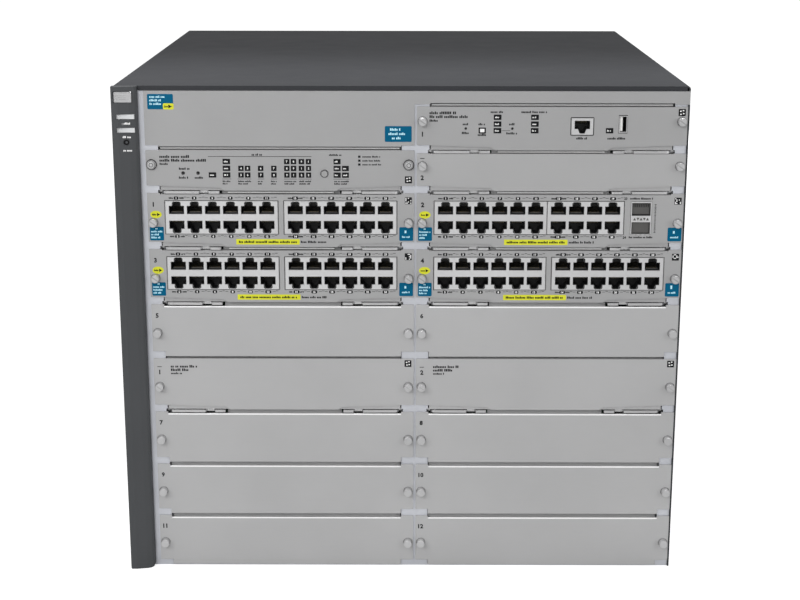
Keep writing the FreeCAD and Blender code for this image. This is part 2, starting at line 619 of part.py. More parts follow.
def rear_frame():
    """Rear panel with four supply bays and the fan bay, flanged forwards."""
    half = WIDTH / 2 - COVER_SHEET - 0.2
    y = (REAR - 0.4 - REAR_SHEET, REAR - 0.4)
    top = HEIGHT - COVER_SHEET - 0.2
    outline = [(-half, 1.7), (half, 1.7), (half, top - 1.0), (half - 1.0, top), (1.0 - half, top), (-half, top - 1.0)]
    sheet = upright(outline, y)
    rim = [box((1.0 - half, half - 1.0), (y[0] - 12.0, y[1]), (top - 1.5, top))]
    shelf = [box((-half, half), (MIDPLANE_FRONT + 20.0, y[1]), (z, z + 1.5)) for z in (128.2, 252.4)]
    keel = box((-0.8, 0.8), (MIDPLANE_FRONT + 20.0, y[1]), (1.7, 253.0))
    width, height = SUPPLY_SIZE
    bays = [box((x - width / 2 - 0.6, x + width / 2 + 0.6), (y[0] - 1, y[1] + 1), (z - height / 2 - 0.6, z + height / 2 + 0.6))
            for x, z in SUPPLY_CENTRES]
    bays.append(box((-206.0, 206.0), (y[0] - 1, y[1] + 1), (FAN_BAND[0] + 2.0, FAN_BAND[1] - 2.0)))
    return fuse([sheet, keel] + rim + shelf).cut(bays)


# ---- rear modules -----------------------------------------------------------
PLATE_Y = (REAR, REAR + 1.4)
DUCT_DEPTH = 30.0
SPIDER_Y = (REAR - 8.0, REAR - 4.0)
SPOKE = 3.2


def bail(x, z, length, stand=HANDLE_PROUD):
    """Upright pull handle with bevelled corners, standing off a rear face."""
    half, t, y0, y1 = length / 2, 7.0, PLATE_Y[1], REAR + stand
    outline = [(y0, z - half), (y1 - 4.0, z - half), (y1, z - half + 4.0), (y1, z + half - 4.0), (y1 - 4.0, z + half),
               (y0, z + half), (y0, z + half - t), (y1 - t, z + half - t), (y1 - t, z - half + t), (y0, z - half + t)]
    wire = Part.makePolygon([V(x - t / 2, y, up) for y, up in outline + outline[:1]])
    return Part.Face(wire).extrude(V(t, 0, 0))


def spokes(x, y, width, reach):
    """Bars of a cross through one fan centre, turned off the upright."""
    bars = []
    for turn in (45, 135):
        bar = box((x - reach, x + reach), y, (FAN_Z - width / 2, FAN_Z + width / 2))
        bar.rotate(V(x, 0, FAN_Z), V(0, 1, 0), turn)
        bars.append(bar)
    return bars


def guard_cut(x):
    """Opening of one finger guard: a ring of windows between four spokes."""
    y = (REAR - 4, REAR + 4)
    ring = rod_y(x, FAN_Z, FAN_R - 1.0, y, 16).cut(rod_y(x, FAN_Z, 18.0, y, 16))
    return ring.cut(spokes(x, y, SPOKE, 60.0))


def fan_duct(x):
    """Square duct with a round throat, a motor cup on four arms and its axle."""
    throat = (REAR - DUCT_DEPTH - 1, REAR + 1)
    block = box((x - 50.5, x + 50.5), (REAR - DUCT_DEPTH, REAR), (FAN_Z - 59.5, FAN_Z + 59.5))
    block = block.cut(rod_y(x, FAN_Z, FAN_R, throat, 16, outside=True))
    motor = rod_y(x, FAN_Z, 17.0, SPIDER_Y, 12)
    axle = shaft((x, REAR - 26.0, FAN_Z), (0, 1, 0), 2.0, 19.0)
    return fuse([block, motor, axle] + spokes(x, SPIDER_Y, 4.0, FAN_R + 1.5))


def fan_tray():
    """Fan carrier: rear plate with finger guards, hood, four ducts, handles and screws."""
    plate = box((-212.0, 212.0), PLATE_Y, FAN_BAND).cut([guard_cut(x) for x in FAN_X])
    low, high = FAN_BAND[0] + 3.0, FAN_BAND[1] - 3.0
    y = (REAR - 60.0, REAR)
    hood = [box((-205.0, 205.0), y, z) for z in ((low, low + 1.2), (high - 1.2, high))]
    ends = [box(x, y, (low + 1.2, high - 1.2)) for x in ((-205.0, -203.8), (203.8, 205.0))]
    handles = [bail(x, FAN_Z, 90.0) for x in (-102.0, 102.0)]
    screws = [rod_y(x, z, 3.4, (PLATE_Y[1], REAR + 9.0)) for x in (-208.2, 208.2) for z in (FAN_BAND[0] + 10, FAN_BAND[1] - 10)]
    return [plate] + hood + ends + [fan_duct(x) for x in FAN_X] + handles + screws


def fan_rotor(x):
    """Hub with seven pitched blades, free on its axle."""
    hub = rod_y(x, FAN_Z, 16.5, (REAR - 28.0, SPIDER_Y[0] - 0.6), 14)
    section = [(-8.5, 0.0), (-1.4, 9.0), (8.5, 15.4), (8.5, 17.0), (-2.4, 10.8), (-9.6, 1.2)]
    blades = []
    for k in range(7):
        wire = Part.makePolygon([V(x + u, REAR - 27.0 + v, FAN_Z + 14.0) for u, v in section + section[:1]])
        blade = Part.Face(wire).extrude(V(0, 0, 30.0))
        blade.rotate(V(x, 0, FAN_Z), V(0, 1, 0), 360.0 / 7 * k)
        blades.append(blade)
    bore = rod_y(x, FAN_Z, 2.3, (REAR - 26.6, REAR), outside=True)
    return fuse([hub] + blades).cut(bore)


def power_supply(x, z):
    """Closed supply box: plug, rear face with air slots and mains inlet, pull handle."""
    width, height = SUPPLY_SIZE
    xs, zs = (x - width / 2, x + width / 2), (z - height / 2, z + height / 2)
    front, joint = MIDPLANE_FRONT + 18.0, REAR - 14.0
    plug = box((x - 12.0, x + 12.0), (front - 6.0, front), (z - 3.0, z + 3.0))
    inlet_x = xs[0] + 32.0
    outline = [(inlet_x - 13.5, z - 10), (inlet_x + 13.5, z - 10), (inlet_x + 13.5, z + 4), (inlet_x + 8, z + 10),
               (inlet_x - 8, z + 10), (inlet_x - 13.5, z + 4)]
    cuts = [upright(outline, (joint, REAR + 3.0))]
    cuts += [box((x - 30.0 + 11.0 * i, x - 24.0 + 11.0 * i), (REAR - 4.0, REAR + 3.0), (z - 40.0, z + 40.0)) for i in range(6)]
    face = box(xs, (joint, PLATE_Y[1]), zs).cut(cuts)
    pins = [box((inlet_x + u - 1, inlet_x + u + 1), (joint, REAR - 3.0), (z + v - 2.2, z + v + 2.2))
            for u, v in ((-7, -3), (0, 1), (7, -3))]
    return [box(xs, (front, joint), zs), face, plug, bail(x + 66.0, z, 78.0)] + pins


# ---- write every node -------------------------------------------------------
def main():
    os.makedirs("parts", exist_ok=True)
    save("outer_cover", [outer_cover()])
    save("base_pan", [base_pan()])
    save("front_frame", [front_frame()])
    save("fascia_panel", [fascia_panel()])
    save("side_bezel", [side_bezel()])
    save("status_lamps", status_lamps())
    save("guide_walls", guide_walls())
    save("midplane", midplane())
    save("rear_frame", [rear_frame()])
    save("blank_covers", [solid for slot in BLANKS for solid in (folded_face(slot, False), gasket(slot))])
    save("cover_screws", [screw for slot in BLANKS for screw in module_screws(slot)])
    support_module()
    manager_module()
    spare_manager()
    for name, slot in PORTS.items():
        port_module(name, slot)
    for name, slot in FABRICS.items():
        fabric_module(name, slot)
    save("fan_tray", fan_tray())
    for number, x in enumerate(FAN_X, 1):
        save("fan_rotor_" + str(number), [fan_rotor(x)])
    for number, (x, z) in enumerate(SUPPLY_CENTRES, 1):
        save("power_supply_" + str(number), power_supply(x, z))


main()
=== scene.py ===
"""Modular chassis switch: finishes, print, jacks, screws and boards around the CAD frame."""
import bpy
import numpy as np
from math import pi, radians
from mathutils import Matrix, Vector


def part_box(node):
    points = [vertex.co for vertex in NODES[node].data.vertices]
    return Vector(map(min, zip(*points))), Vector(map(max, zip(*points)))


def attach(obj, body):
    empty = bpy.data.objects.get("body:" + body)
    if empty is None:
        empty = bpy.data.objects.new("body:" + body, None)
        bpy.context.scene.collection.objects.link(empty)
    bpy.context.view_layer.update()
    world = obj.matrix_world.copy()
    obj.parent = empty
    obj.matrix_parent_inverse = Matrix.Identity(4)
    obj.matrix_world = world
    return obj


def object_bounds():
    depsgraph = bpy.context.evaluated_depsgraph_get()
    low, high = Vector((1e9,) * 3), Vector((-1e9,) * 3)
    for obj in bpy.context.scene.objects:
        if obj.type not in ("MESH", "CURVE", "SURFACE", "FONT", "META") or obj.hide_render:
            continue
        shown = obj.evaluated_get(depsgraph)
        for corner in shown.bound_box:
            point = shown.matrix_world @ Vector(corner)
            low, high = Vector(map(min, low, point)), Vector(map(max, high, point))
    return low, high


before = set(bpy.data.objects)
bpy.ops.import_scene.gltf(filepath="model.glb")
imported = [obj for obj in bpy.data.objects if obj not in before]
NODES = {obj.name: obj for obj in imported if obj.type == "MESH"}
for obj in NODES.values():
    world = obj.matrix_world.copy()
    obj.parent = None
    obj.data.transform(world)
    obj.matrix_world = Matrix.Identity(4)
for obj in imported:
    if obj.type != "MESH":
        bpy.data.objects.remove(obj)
cad_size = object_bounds()

# ---- Studio ------------------------------------------------------------------
# A seamless pale floor under a white sky, a large soft lamp above the front left, a
# weaker one to the right, a low one behind and a narrow beam down the faces.  The
# camera stands a little over a metre in front of the faces, above the cover's top.
scene = bpy.context.scene
scene.view_settings.view_transform = "Standard"
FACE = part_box("fascia_panel")[0].y


def area_lamp(name, place, size, watts, aim, spread=180):
    """Soft rectangular lamp at a place, turned to shine at a point in a beam of so many degrees."""
    data = bpy.data.lights.new(name, "AREA")
    data.shape = "RECTANGLE"
    data.size, data.size_y = size
    data.energy = watts
    data.spread = radians(spread)
    lamp = bpy.data.objects.new(name, data)
    lamp.location = place
    x, y, z = np.array(aim) - np.array(place)
    lamp.rotation_euler = (pi / 2 + np.arctan2(z, np.hypot(x, y)), 0, np.arctan2(y, x) - pi / 2)
    scene.collection.objects.link(lamp)


area_lamp("key", (-0.9, FACE - 1.6, 1.15), (2.0, 0.8), 24.6, (0, FACE, 0.2))
area_lamp("side", (1.9, FACE - 1.7, 0.8), (1.2, 0.8), 12.2, (0, FACE, 0.1))
BACK = cad_size[1].y
area_lamp("rear", (0.5, BACK + 1.9, 0.2), (1.6, 0.34), 9.0, (0, BACK, 0.2))
area_lamp("top", (0.0, FACE + 0.05, 0.95), (0.9, 0.1), 0.7, (0, FACE + 0.06, 0.2), 44)

sky = bpy.data.worlds.new("sky")
sky.use_nodes = True
scene.world = sky
tree = sky.node_tree
tree.nodes.clear()
kinds = ("TexCoord", "SeparateXYZ", "ValToRGB", "Background", "Background", "LightPath", "MixShader",
         "OutputWorld")
spot, split, ramp, soft, white, ray, mix, world = (tree.nodes.new("ShaderNode" + kind) for kind in kinds)
for at, tone in ((0.0, 0.40), (0.35, 0.345), (1.0, 0.50)):
    stop = ramp.color_ramp.elements[0] if at == 0.0 else ramp.color_ramp.elements.new(at)
    stop.position = at
    stop.color = (tone, tone, tone, 1)
ramp.color_ramp.elements.remove(ramp.color_ramp.elements[-1])
white.inputs["Color"].default_value = (1, 1, 1, 1)
for source, socket in (
        (spot.outputs["Generated"], split.inputs[0]), (split.outputs["Z"], ramp.inputs[0]),
        (ramp.outputs[0], soft.inputs["Color"]), (ray.outputs["Is Camera Ray"], mix.inputs[0]),
        (soft.outputs[0], mix.inputs[1]), (white.outputs[0], mix.inputs[2]),
        (mix.outputs[0], world.inputs[0])):
    tree.links.new(source, socket)

eye = bpy.data.cameras.new("eye")
eye.sensor_width = 36.0
eye.lens = 72.47
camera = bpy.data.objects.new("eye", eye)
camera.location = (0.0019, FACE - 1.2234, 0.5482)
camera.rotation_euler = (radians(90 - 14.78), radians(-0.07), radians(0.14))
scene.collection.objects.link(camera)
scene.camera = camera


def link_finish(name):
    """New node material; gives the material, its tree, its shader and object coordinates."""
    finish = bpy.data.materials.new(name)
    finish.use_nodes = True
    nodes = finish.node_tree
    shader = nodes.nodes["Principled BSDF"]
    place = nodes.nodes.new("ShaderNodeTexCoord")
    return finish, nodes, shader, place.outputs["Object"]


floor_finish, nodes, shader, place = link_finish("studio_floor")
shader.inputs["Base Color"].default_value = (0.50, 0.50, 0.50, 1)
shader.inputs["Roughness"].default_value = 0.9
shader.inputs["Emission Color"].default_value = (1, 1, 1, 1)
glow = nodes.nodes.new("ShaderNodeMath")
glow.operation = "MULTIPLY"
glow.inputs[1].default_value = 0.72
nodes.links.new(nodes.nodes.new("ShaderNodeLightPath").outputs["Is Camera Ray"], glow.inputs[0])
nodes.links.new(glow.outputs[0], shader.inputs["Emission Strength"])
span = np.linspace(-6.0, 6.0, 13)
floor_x, floor_y = np.meshgrid(span, span, indexing="ij")
floor_points = np.stack([floor_x, floor_y, 0 * floor_x], -1).reshape(-1, 3)
row, step = np.meshgrid(np.arange(12), np.arange(12), indexing="ij")
corner = (row * 13 + step).ravel()
floor_faces = np.stack([corner, corner + 13, corner + 14, corner + 1], -1)
mesh = bpy.data.meshes.new("floor")
mesh.from_pydata(floor_points.tolist(), [], floor_faces.tolist())
mesh.materials.append(floor_finish)
floor = bpy.data.objects.new("floor", mesh)
scene.collection.objects.link(floor)


# ---- Outer cover ---------------------------------------------------------------
# Top and sides folded from one steel sheet, powder coated in dark grey with a
# fine orange peel.  The cooling slots and ear holes are punched before painting.
def vary(nodes, place, scale, stretch=(1, 1, 1), detail=4.0):
    """Noise over the object's own coordinates, stretched along its axes; gives 0 to 1."""
    turn = nodes.nodes.new("ShaderNodeMapping")
    turn.inputs["Scale"].default_value = stretch
    noise = nodes.nodes.new("ShaderNodeTexNoise")
    noise.inputs["Scale"].default_value = scale
    noise.inputs["Detail"].default_value = detail
    nodes.links.new(place, turn.inputs[0])
    nodes.links.new(turn.outputs[0], noise.inputs["Vector"])
    return noise.outputs["Fac"]


def between(nodes, amount, low, high):
    """Maps an amount of 0.3 to 0.7 to the range from low to high."""
    band = nodes.nodes.new("ShaderNodeMapRange")
    band.inputs["From Min"].default_value = 0.3
    band.inputs["From Max"].default_value = 0.7
    band.inputs["To Min"].default_value = low
    band.inputs["To Max"].default_value = high
    nodes.links.new(amount, band.inputs["Value"])
    return band.outputs[0]


def shades(nodes, amount, dark, light):
    """Colour that runs from dark to light with an amount of 0.3 to 0.7."""
    ramp = nodes.nodes.new("ShaderNodeValToRGB")
    ramp.color_ramp.elements[0].position = 0.3
    ramp.color_ramp.elements[1].position = 0.7
    ramp.color_ramp.elements[0].color = (*dark, 1)
    ramp.color_ramp.elements[1].color = (*light, 1)
    nodes.links.new(amount, ramp.inputs[0])
    return ramp.outputs[0]


def relief(nodes, shader, amount, depth):
    """Bump of a depth in metres on the shader's normal."""
    bump = nodes.nodes.new("ShaderNodeBump")
    bump.inputs["Distance"].default_value = depth
    nodes.links.new(amount, bump.inputs["Height"])
    nodes.links.new(bump.outputs[0], shader.inputs["Normal"])


def coated(name, dark, light, rough, metal=0.0, specular=0.5, grain=900.0, depth=0.00004):
    """Painted, moulded or plated finish: cloudy colour, uneven gloss and a fine grain."""
    finish, nodes, shader, place = link_finish(name)
    cloud = vary(nodes, place, 9.0)
    nodes.links.new(shades(nodes, cloud, dark, light), shader.inputs["Base Color"])
    nodes.links.new(between(nodes, vary(nodes, place, 45.0), *rough), shader.inputs["Roughness"])
    shader.inputs["Metallic"].default_value = metal
    shader.inputs["Specular IOR Level"].default_value = specular
    relief(nodes, shader, vary(nodes, place, grain, detail=2.0), depth)
    return finish


def wear(node, finish):
    """Gives a CAD node its finish."""
    NODES[node].material_slots[0].material = finish


cover_paint = coated("cover_powder_coat", (0.036, 0.0375, 0.0415), (0.0405, 0.042, 0.0462), (0.53, 0.57),
                     specular=0.1)
wear("outer_cover", cover_paint)


# ---- Plated sheets -------------------------------------------------------------
# Frame, fascia, faces, blank covers and trays are zinc-plated steel with a satin
# finish, rolled along their length.  The bare frame is brighter than the faces.
def plated(name, dark, light, rough, metal=0.85, along=(1, 1, 14)):
    """Satin plate: rolling lines that run along one axis, over a cloudy tone."""
    finish, nodes, shader, place = link_finish(name)
    cloud = vary(nodes, place, 14.0)
    lines = vary(nodes, place, 60.0, stretch=along, detail=6.0)
    nodes.links.new(shades(nodes, cloud, dark, light), shader.inputs["Base Color"])
    nodes.links.new(between(nodes, lines, *rough), shader.inputs["Roughness"])
    shader.inputs["Metallic"].default_value = metal
    relief(nodes, shader, lines, 0.00001)
    return finish


def face_finish(name, share):
    """Satin plate of the faces, at a share of the blank covers' tone."""
    dark, light = np.array([0.42, 0.42, 0.423]) * share, np.array([0.45, 0.45, 0.453]) * share
    return plated(name, dark, light, (0.48, 0.56), metal=0.25)


frame_plate = plated("bright_frame_plate", (0.60, 0.615, 0.66), (0.66, 0.675, 0.72), (0.34, 0.42), metal=0.6)
inner_plate = plated("inner_zinc_plate", (0.40, 0.41, 0.43), (0.50, 0.51, 0.53), (0.38, 0.55))
for node in ("front_frame", "base_pan", "guide_walls", "rear_frame"):
    wear(node, frame_plate if node == "front_frame" else inner_plate)
MODULES = {"support": "support_module", "manager": "manager_module",
           "spare_manager": "spare_manager_carrier", **{name: "port_module_" + name for name in "abcd"},
           "fabric_1": "fabric_module_1", "fabric_2": "fabric_module_2"}
TRAYS = {name: name + ("_plate" if name == "spare_manager" else "_tray") for name in MODULES}
FACE_TONES = dict.fromkeys(TRAYS.values(), 0.84)
FACE_TONES.update(fascia_panel=0.80, support_tray=0.81, manager_tray=0.81, spare_manager_plate=0.90,
                  fabric_1_tray=1.0, fabric_2_tray=1.0, blank_covers=1.0)
for node, share in FACE_TONES.items():
    wear(node, face_finish(node + "_satin_plate", share))


# ---- Ejector levers ------------------------------------------------------------
# Stamped from 2 mm steel and tumbled bright, one at each lower corner of a module.
# Each turns on a pin in its tray, with its tooth in a slot of the front frame.
lever_steel = plated("tumbled_lever_steel", (0.62, 0.62, 0.625), (0.74, 0.74, 0.745), (0.26, 0.36), 0.95)
for name in MODULES:
    for side in ("left", "right"):
        wear(name + "_lever_" + side, lever_steel)

# ---- Side bezel ----------------------------------------------------------------
# Moulded strip in dark grey ABS with a fine spark-eroded grain, clipped to the
# left of the frame; a bare brushed plate sits in its badge recess.
bezel_plastic = coated("bezel_abs", (0.0435, 0.0465, 0.050), (0.051, 0.054, 0.0585), (0.5, 0.6),
                       grain=1400.0, depth=0.00005)
wear("side_bezel", bezel_plastic)


def put(name, shape, finish, body, smooth=False):
    """Mesh object from a shape's points and faces, in place, riding on a body."""
    points, faces = shape
    mesh = bpy.data.meshes.new(name)
    mesh.from_pydata(np.asarray(points).tolist(), [], [list(map(int, f)) for f in faces])
    mesh.materials.append(finish)
    mesh.shade_smooth() if smooth else mesh.shade_flat()
    piece = bpy.data.objects.new(name, mesh)
    scene.collection.objects.link(piece)
    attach(piece, body)


def ring_outline(width, height, radius, turns=4):
    """Rectangle with round corners: four quarter arcs joined in order, as (x, z)."""
    angle = np.linspace(0, pi / 2, turns + 1)
    quarter = np.stack([np.cos(angle), np.sin(angle)], -1) * radius
    sides = np.array([[1, 1], [-1, 1], [-1, -1], [1, -1]]) * (np.array([width, height]) / 2 - radius)
    turn = np.array([[[1, 0], [0, 1]], [[0, -1], [1, 0]], [[-1, 0], [0, -1]], [[0, 1], [-1, 0]]])
    return (np.einsum("kij,nj->kni", turn, quarter) + sides[:, None]).reshape(-1, 2)


def tube(rings):
    """Closed skin over rings of as many points each: quads from ring to ring, and a cap at either end."""
    n = len(rings[0])
    k, turned = np.arange(n), (np.arange(n) + 1) % n
    quads = np.stack([k, turned, turned + n, k + n], -1)
    sides = np.concatenate([quads + r * n for r in range(len(rings) - 1)])
    return np.concatenate(rings), sides.tolist() + [list(k + (len(rings) - 1) * n), list(k[::-1])]


def slab(outline, low, high, edge=0.0):
    """Outline in x and z, raised from y = low out to y = high, with a small bevel."""
    middle = outline.mean(0)
    inner = middle + (outline - middle) * (1 - edge / np.abs(outline - middle).max())
    rings = [(outline, low), (outline, high + edge)] + ([(inner, high)] if edge else [])
    return tube([np.insert(ring, 1, y, axis=1) for ring, y in rings])


def repeat(shape, places):
    """Copies of one shape at many (x, y, z) places, as one set of points and faces."""
    points, faces = shape
    places = np.asarray(places, float).reshape(-1, 3)
    many = (points[None] + places[:, None]).reshape(-1, 3)
    count = len(points)
    return many, [[v + k * count for v in f] for k in range(len(places)) for f in faces]


def join(shapes):
    """Several shapes as one set of points and faces."""
    points, faces, start = [], [], 0
    for p, f in shapes:
        points.append(p)
        faces += [[v + start for v in face] for face in f]
        start += len(p)
    return np.concatenate(points), faces


MM = 0.001
bezel_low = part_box("side_bezel")[0]
badge_steel = plated("badge_plate", (0.62, 0.62, 0.63), (0.75, 0.75, 0.76), (0.25, 0.35), along=(1, 1, 20))
badge_place = (bezel_low.x + 9.0 * MM, FACE, bezel_low.z + 385.45 * MM)
badge = slab(ring_outline(13.4 * MM, 8.1 * MM, 0.6 * MM), -6.2 * MM, -7.0 * MM, 0.2 * MM)
put("badge_plate", repeat(badge, [badge_place]), badge_steel, "chassis")
wear("status_lamps", coated("lamp_window", (0.56, 0.57, 0.58), (0.66, 0.67, 0.68), (0.15, 0.2),
                            grain=300, depth=0.00001))


# ---- Print on the faces ----------------------------------------------------------
# Screen print and foil labels on the faces: number badges, rows of plain marks where
# words stand, lamp boxes, blue and yellow tags.  Each is a very thin raised film.
FILM = 0.05 * MM
SQUARE = np.array([(1, 1), (-1, 1), (-1, -1), (1, -1)])
DULL = 0.08
ink = coated("black_print", (0.010, 0.010, 0.011), (0.014, 0.014, 0.015), (0.4, 0.5), specular=DULL)
grey_ink = coated("grey_print", (0.045, 0.045, 0.045), (0.06, 0.06, 0.06), (0.5, 0.6), specular=DULL)
white_ink = coated("white_print", (0.80, 0.80, 0.80), (0.86, 0.86, 0.86), (0.5, 0.6), specular=DULL)
pale_ink = coated("pale_print", (0.45, 0.75, 0.85), (0.50, 0.80, 0.90), (0.5, 0.6), specular=DULL)
blue_foil = coated("blue_tag_foil", (0.0, 0.093, 0.183), (0.001, 0.103, 0.203), (0.4, 0.5), specular=DULL)
yellow_foil = coated("yellow_tag_foil", (0.60, 0.61, 0.036), (0.66, 0.67, 0.045), (0.4, 0.5), specular=DULL)
rng = np.random.default_rng(8)


class Print:
    """Films of one body, gathered by ink; places are millimetres from a face's corner."""

    def __init__(self, label, body, x, z, y=FACE):
        self.label, self.body, self.x, self.z, self.y = label, body, x, z, y
        self.films = {}

    def add(self, ink, shape, places, lift=1):
        """Copies of a shape in one ink, raised by whole films over the print below."""
        spots = [(self.x + px * MM, self.y, self.z + pz * MM) for px, pz in places]
        points, faces = repeat(shape, spots)
        points[:, 1] -= FILM * (lift - 1)
        self.films.setdefault(ink, []).append((points, faces))

    def field(self, ink, places, width, height, radius=0.3, lift=1):
        """Filled rectangle with round corners, at its middle."""
        self.add(ink, slab(ring_outline(width * MM, height * MM, radius * MM, 3), 0, -FILM), places, lift)

    def oval(self, ink, places, width, height, lift=1):
        """Filled ellipse: cosine and sine scaled to its width and height."""
        angle = np.linspace(0, 2 * pi, 28, endpoint=False)
        outline = np.stack([np.cos(angle) * width, np.sin(angle) * height], -1) * MM / 2
        self.add(ink, slab(outline, 0, -FILM), places, lift)

    def words(self, ink, x, z, width, size, lift=1, lines=1, gap=0.0):
        """Rows of small upright marks in uneven groups, where a line of words stands."""
        for k in range(lines):
            end = x + width * (1.0 if k == 0 else rng.uniform(0.55, 0.95))
            at, marks = x + 0.2 * size, []
            while at < end:
                count = int(min(rng.integers(2, 9), np.ceil((end - at) / (0.6 * size))))
                marks += [at + 0.6 * size * i for i in range(count)]
                at += (0.6 * count + 0.45) * size
            high = rng.random(len(marks)) < 0.35
            for some, height in ((high, 0.95), (~high, 0.68)):
                spots = [(m, z - k * gap + (height - 0.95) * size / 2) for m, s in zip(marks, some) if s]
                mark = SQUARE * (0.46 * size * MM / 2, height * size * MM / 2)
                if spots:
                    self.add(ink, slab(mark, 0, -FILM), spots, lift)

    def numbers(self, ink, entries, height, lift=1):
        """Plain digits, centred on their places."""
        for number, x, z in entries:
            self.add(ink, digits(str(number), height), [(x, z)], lift)

    def finish(self):
        """One mesh for each ink that was used."""
        for ink, parts in self.films.items():
            put(self.label + "_" + ink.name, join(parts), ink, self.body)


DIGIT_RAISE = 0.02


def digits(text, height):
    """Digits as flat meshes in x and z, scaled to a height in millimetres and centred."""
    curve = bpy.data.curves.new("digits", "FONT")
    curve.body, curve.resolution_u, curve.extrude, curve.offset = text, 2, DIGIT_RAISE, 0.04
    holder = bpy.data.objects.new("digits", curve)
    scene.collection.objects.link(holder)
    bpy.context.view_layer.update()
    shape = bpy.data.meshes.new_from_object(holder.evaluated_get(bpy.context.evaluated_depsgraph_get()))
    points = np.zeros(len(shape.vertices) * 3)
    shape.vertices.foreach_get("co", points)
    points = points.reshape(-1, 3)
    faces = [list(p.vertices) for p in shape.polygons]
    bpy.data.objects.remove(holder)
    bpy.data.meshes.remove(shape)
    low, high = points.min(0), points.max(0)
    scale = height * MM / (high[1] - low[1])
    flat = (points - (low + high) / 2) * scale
    depth = -FILM / 2 - flat[:, 2] / (DIGIT_RAISE * scale) * FILM / 2
    return np.stack([flat[:, 0], depth, flat[:, 1]], -1), faces


EAR_RISE = 6.3 * MM


def corner_of(node):
    """Left edge and lower line of a module's ears, from its tray."""
    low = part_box(node)[0]
    return low.x, low.z + EAR_RISE


def on_face(name, spots, y=0.0):
    """Places on a module's face, from millimetres along x and z of its corner and behind the face."""
    x, z = corner_of(TRAYS[name])
    return [(x + a * MM, FACE + y * MM, z + b * MM) for a, b in spots]


def corner_print(label, name):
    """Print that starts from the corner of a module's face."""
    return Print(label, MODULES[name], *corner_of(TRAYS[name]))


# The port modules: a badge over or under each jack, a frame round each block, two
# blue tags, a yellow oval and strip, a place number and a square mark.
JACK_PITCH = 13.97
JACKS = 22.4 + JACK_PITCH * np.arange(6)
BLOCK_STARTS = {"a": 114.4, "b": JACKS[5] + 17.6, "c": 114.4, "d": 114.4}
BADGE_ROWS = (34.6, 4.3)
SEAL, SEAL_X = (5.5, 5.5, 0.4), 202.0


def second_block(name):
    """Middles of the jack columns in a module's right-hand block."""
    return BLOCK_STARTS[name] + JACK_PITCH * np.arange(4 if name == "b" else 6)


for order, name in enumerate("abcd"):
    sheet = corner_print(name + "_face", name)
    second = second_block(name)
    columns = np.concatenate([JACKS, second])
    for group, width in ((columns[:5], 3.6), (columns[5:], 4.7)):
        sheet.field(ink, [(c, h) for c in group for h in BADGE_ROWS], width, 2.5, 0.9)
    for row, h in enumerate(BADGE_ROWS):
        sheet.numbers(white_ink, [(2 * k + 1 + row, c, h) for k, c in enumerate(columns)], 1.7, 2)
    marks = [(c + s * 4.6, h + 0.3) for c in columns for s in (-1, 1) for h in BADGE_ROWS]
    sheet.field(grey_ink, marks, 2.4, 0.35, 0.15)
    sheet.field(grey_ink, [(c + 6.98, h + 0.8) for c in columns for h in BADGE_ROWS], 2.0, 0.4, 0.15)
    for block in (JACKS, second):
        middle, reach = (block[0] + block[-1]) / 2, block[-1] - block[0] + 18.2
        sheet.field(ink, [(middle, 6.15), (middle, 32.65)], reach, 0.3, 0.1)
        sheet.field(ink, [(middle - reach / 2, 19.4), (middle + reach / 2, 19.4)], 0.3, 26.6, 0.1)
    for first in (JACKS[0], second[0]):
        for at in (first - 5.6, first + 2.6):
            for h in BADGE_ROWS:
                sheet.words(ink, at, h, 3.2, 1.4)
    sheet.field(blue_foil, [(6.6, 6.45), (200.4, 6.45)], 10.9, 10.9, 0.9)
    sheet.words(pale_ink, 5.6, 10.6, 1.8, 1.5, 2)
    sheet.words(pale_ink, 2.2, 8.2, 8.4, 1.5, 2, lines=3, gap=2.4)
    sheet.words(pale_ink, 199.2, 8.6, 1.8, 3.0, 2)
    sheet.words(pale_ink, 197.2, 4.2, 6.2, 1.5, 2)
    sheet.oval(yellow_foil, [(6.4, 21.6)], 8.9, 5.9)
    sheet.words(ink, 3.4, 21.6, 3.6, 1.4, 2)
    sheet.add(ink, slab(np.array([(7.2, -1.3), (9.6, 0), (7.2, 1.3)]) * MM, 0, -FILM), [(0.0, 21.6)], 2)
    sheet.field(yellow_foil, [(92.8, 0.05)], 49.4, 4.3, 0.2)
    sheet.words(ink, 70.2, 0.05, 45.0, 1.9, 2)
    sheet.words(ink, 118.5, 0.05, 19.8, 1.9)
    sheet.numbers(ink, [(order + 1, 4.6, 29.6)], 3.8)
    sheet.field(ink, [(SEAL_X, 32.8)], *SEAL)
    spots = rng.choice(25, 9, replace=False)
    cells = [(SEAL_X + (s % 5 - 2) * 0.95, 32.8 + (s // 5 - 2) * 0.95) for s in spots]
    sheet.field(white_ink, cells, 0.8, 0.8, 0.1, 2)
    sheet.finish()


def seal(sheet, x, z, cells):
    """Square black mark with four small white cells beside its middle."""
    sheet.field(ink, [(x, z)], *SEAL)
    sheet.field(white_ink, [(x + i, z + j) for i, j in cells], 1.2, 0.9, 0.1, 2)


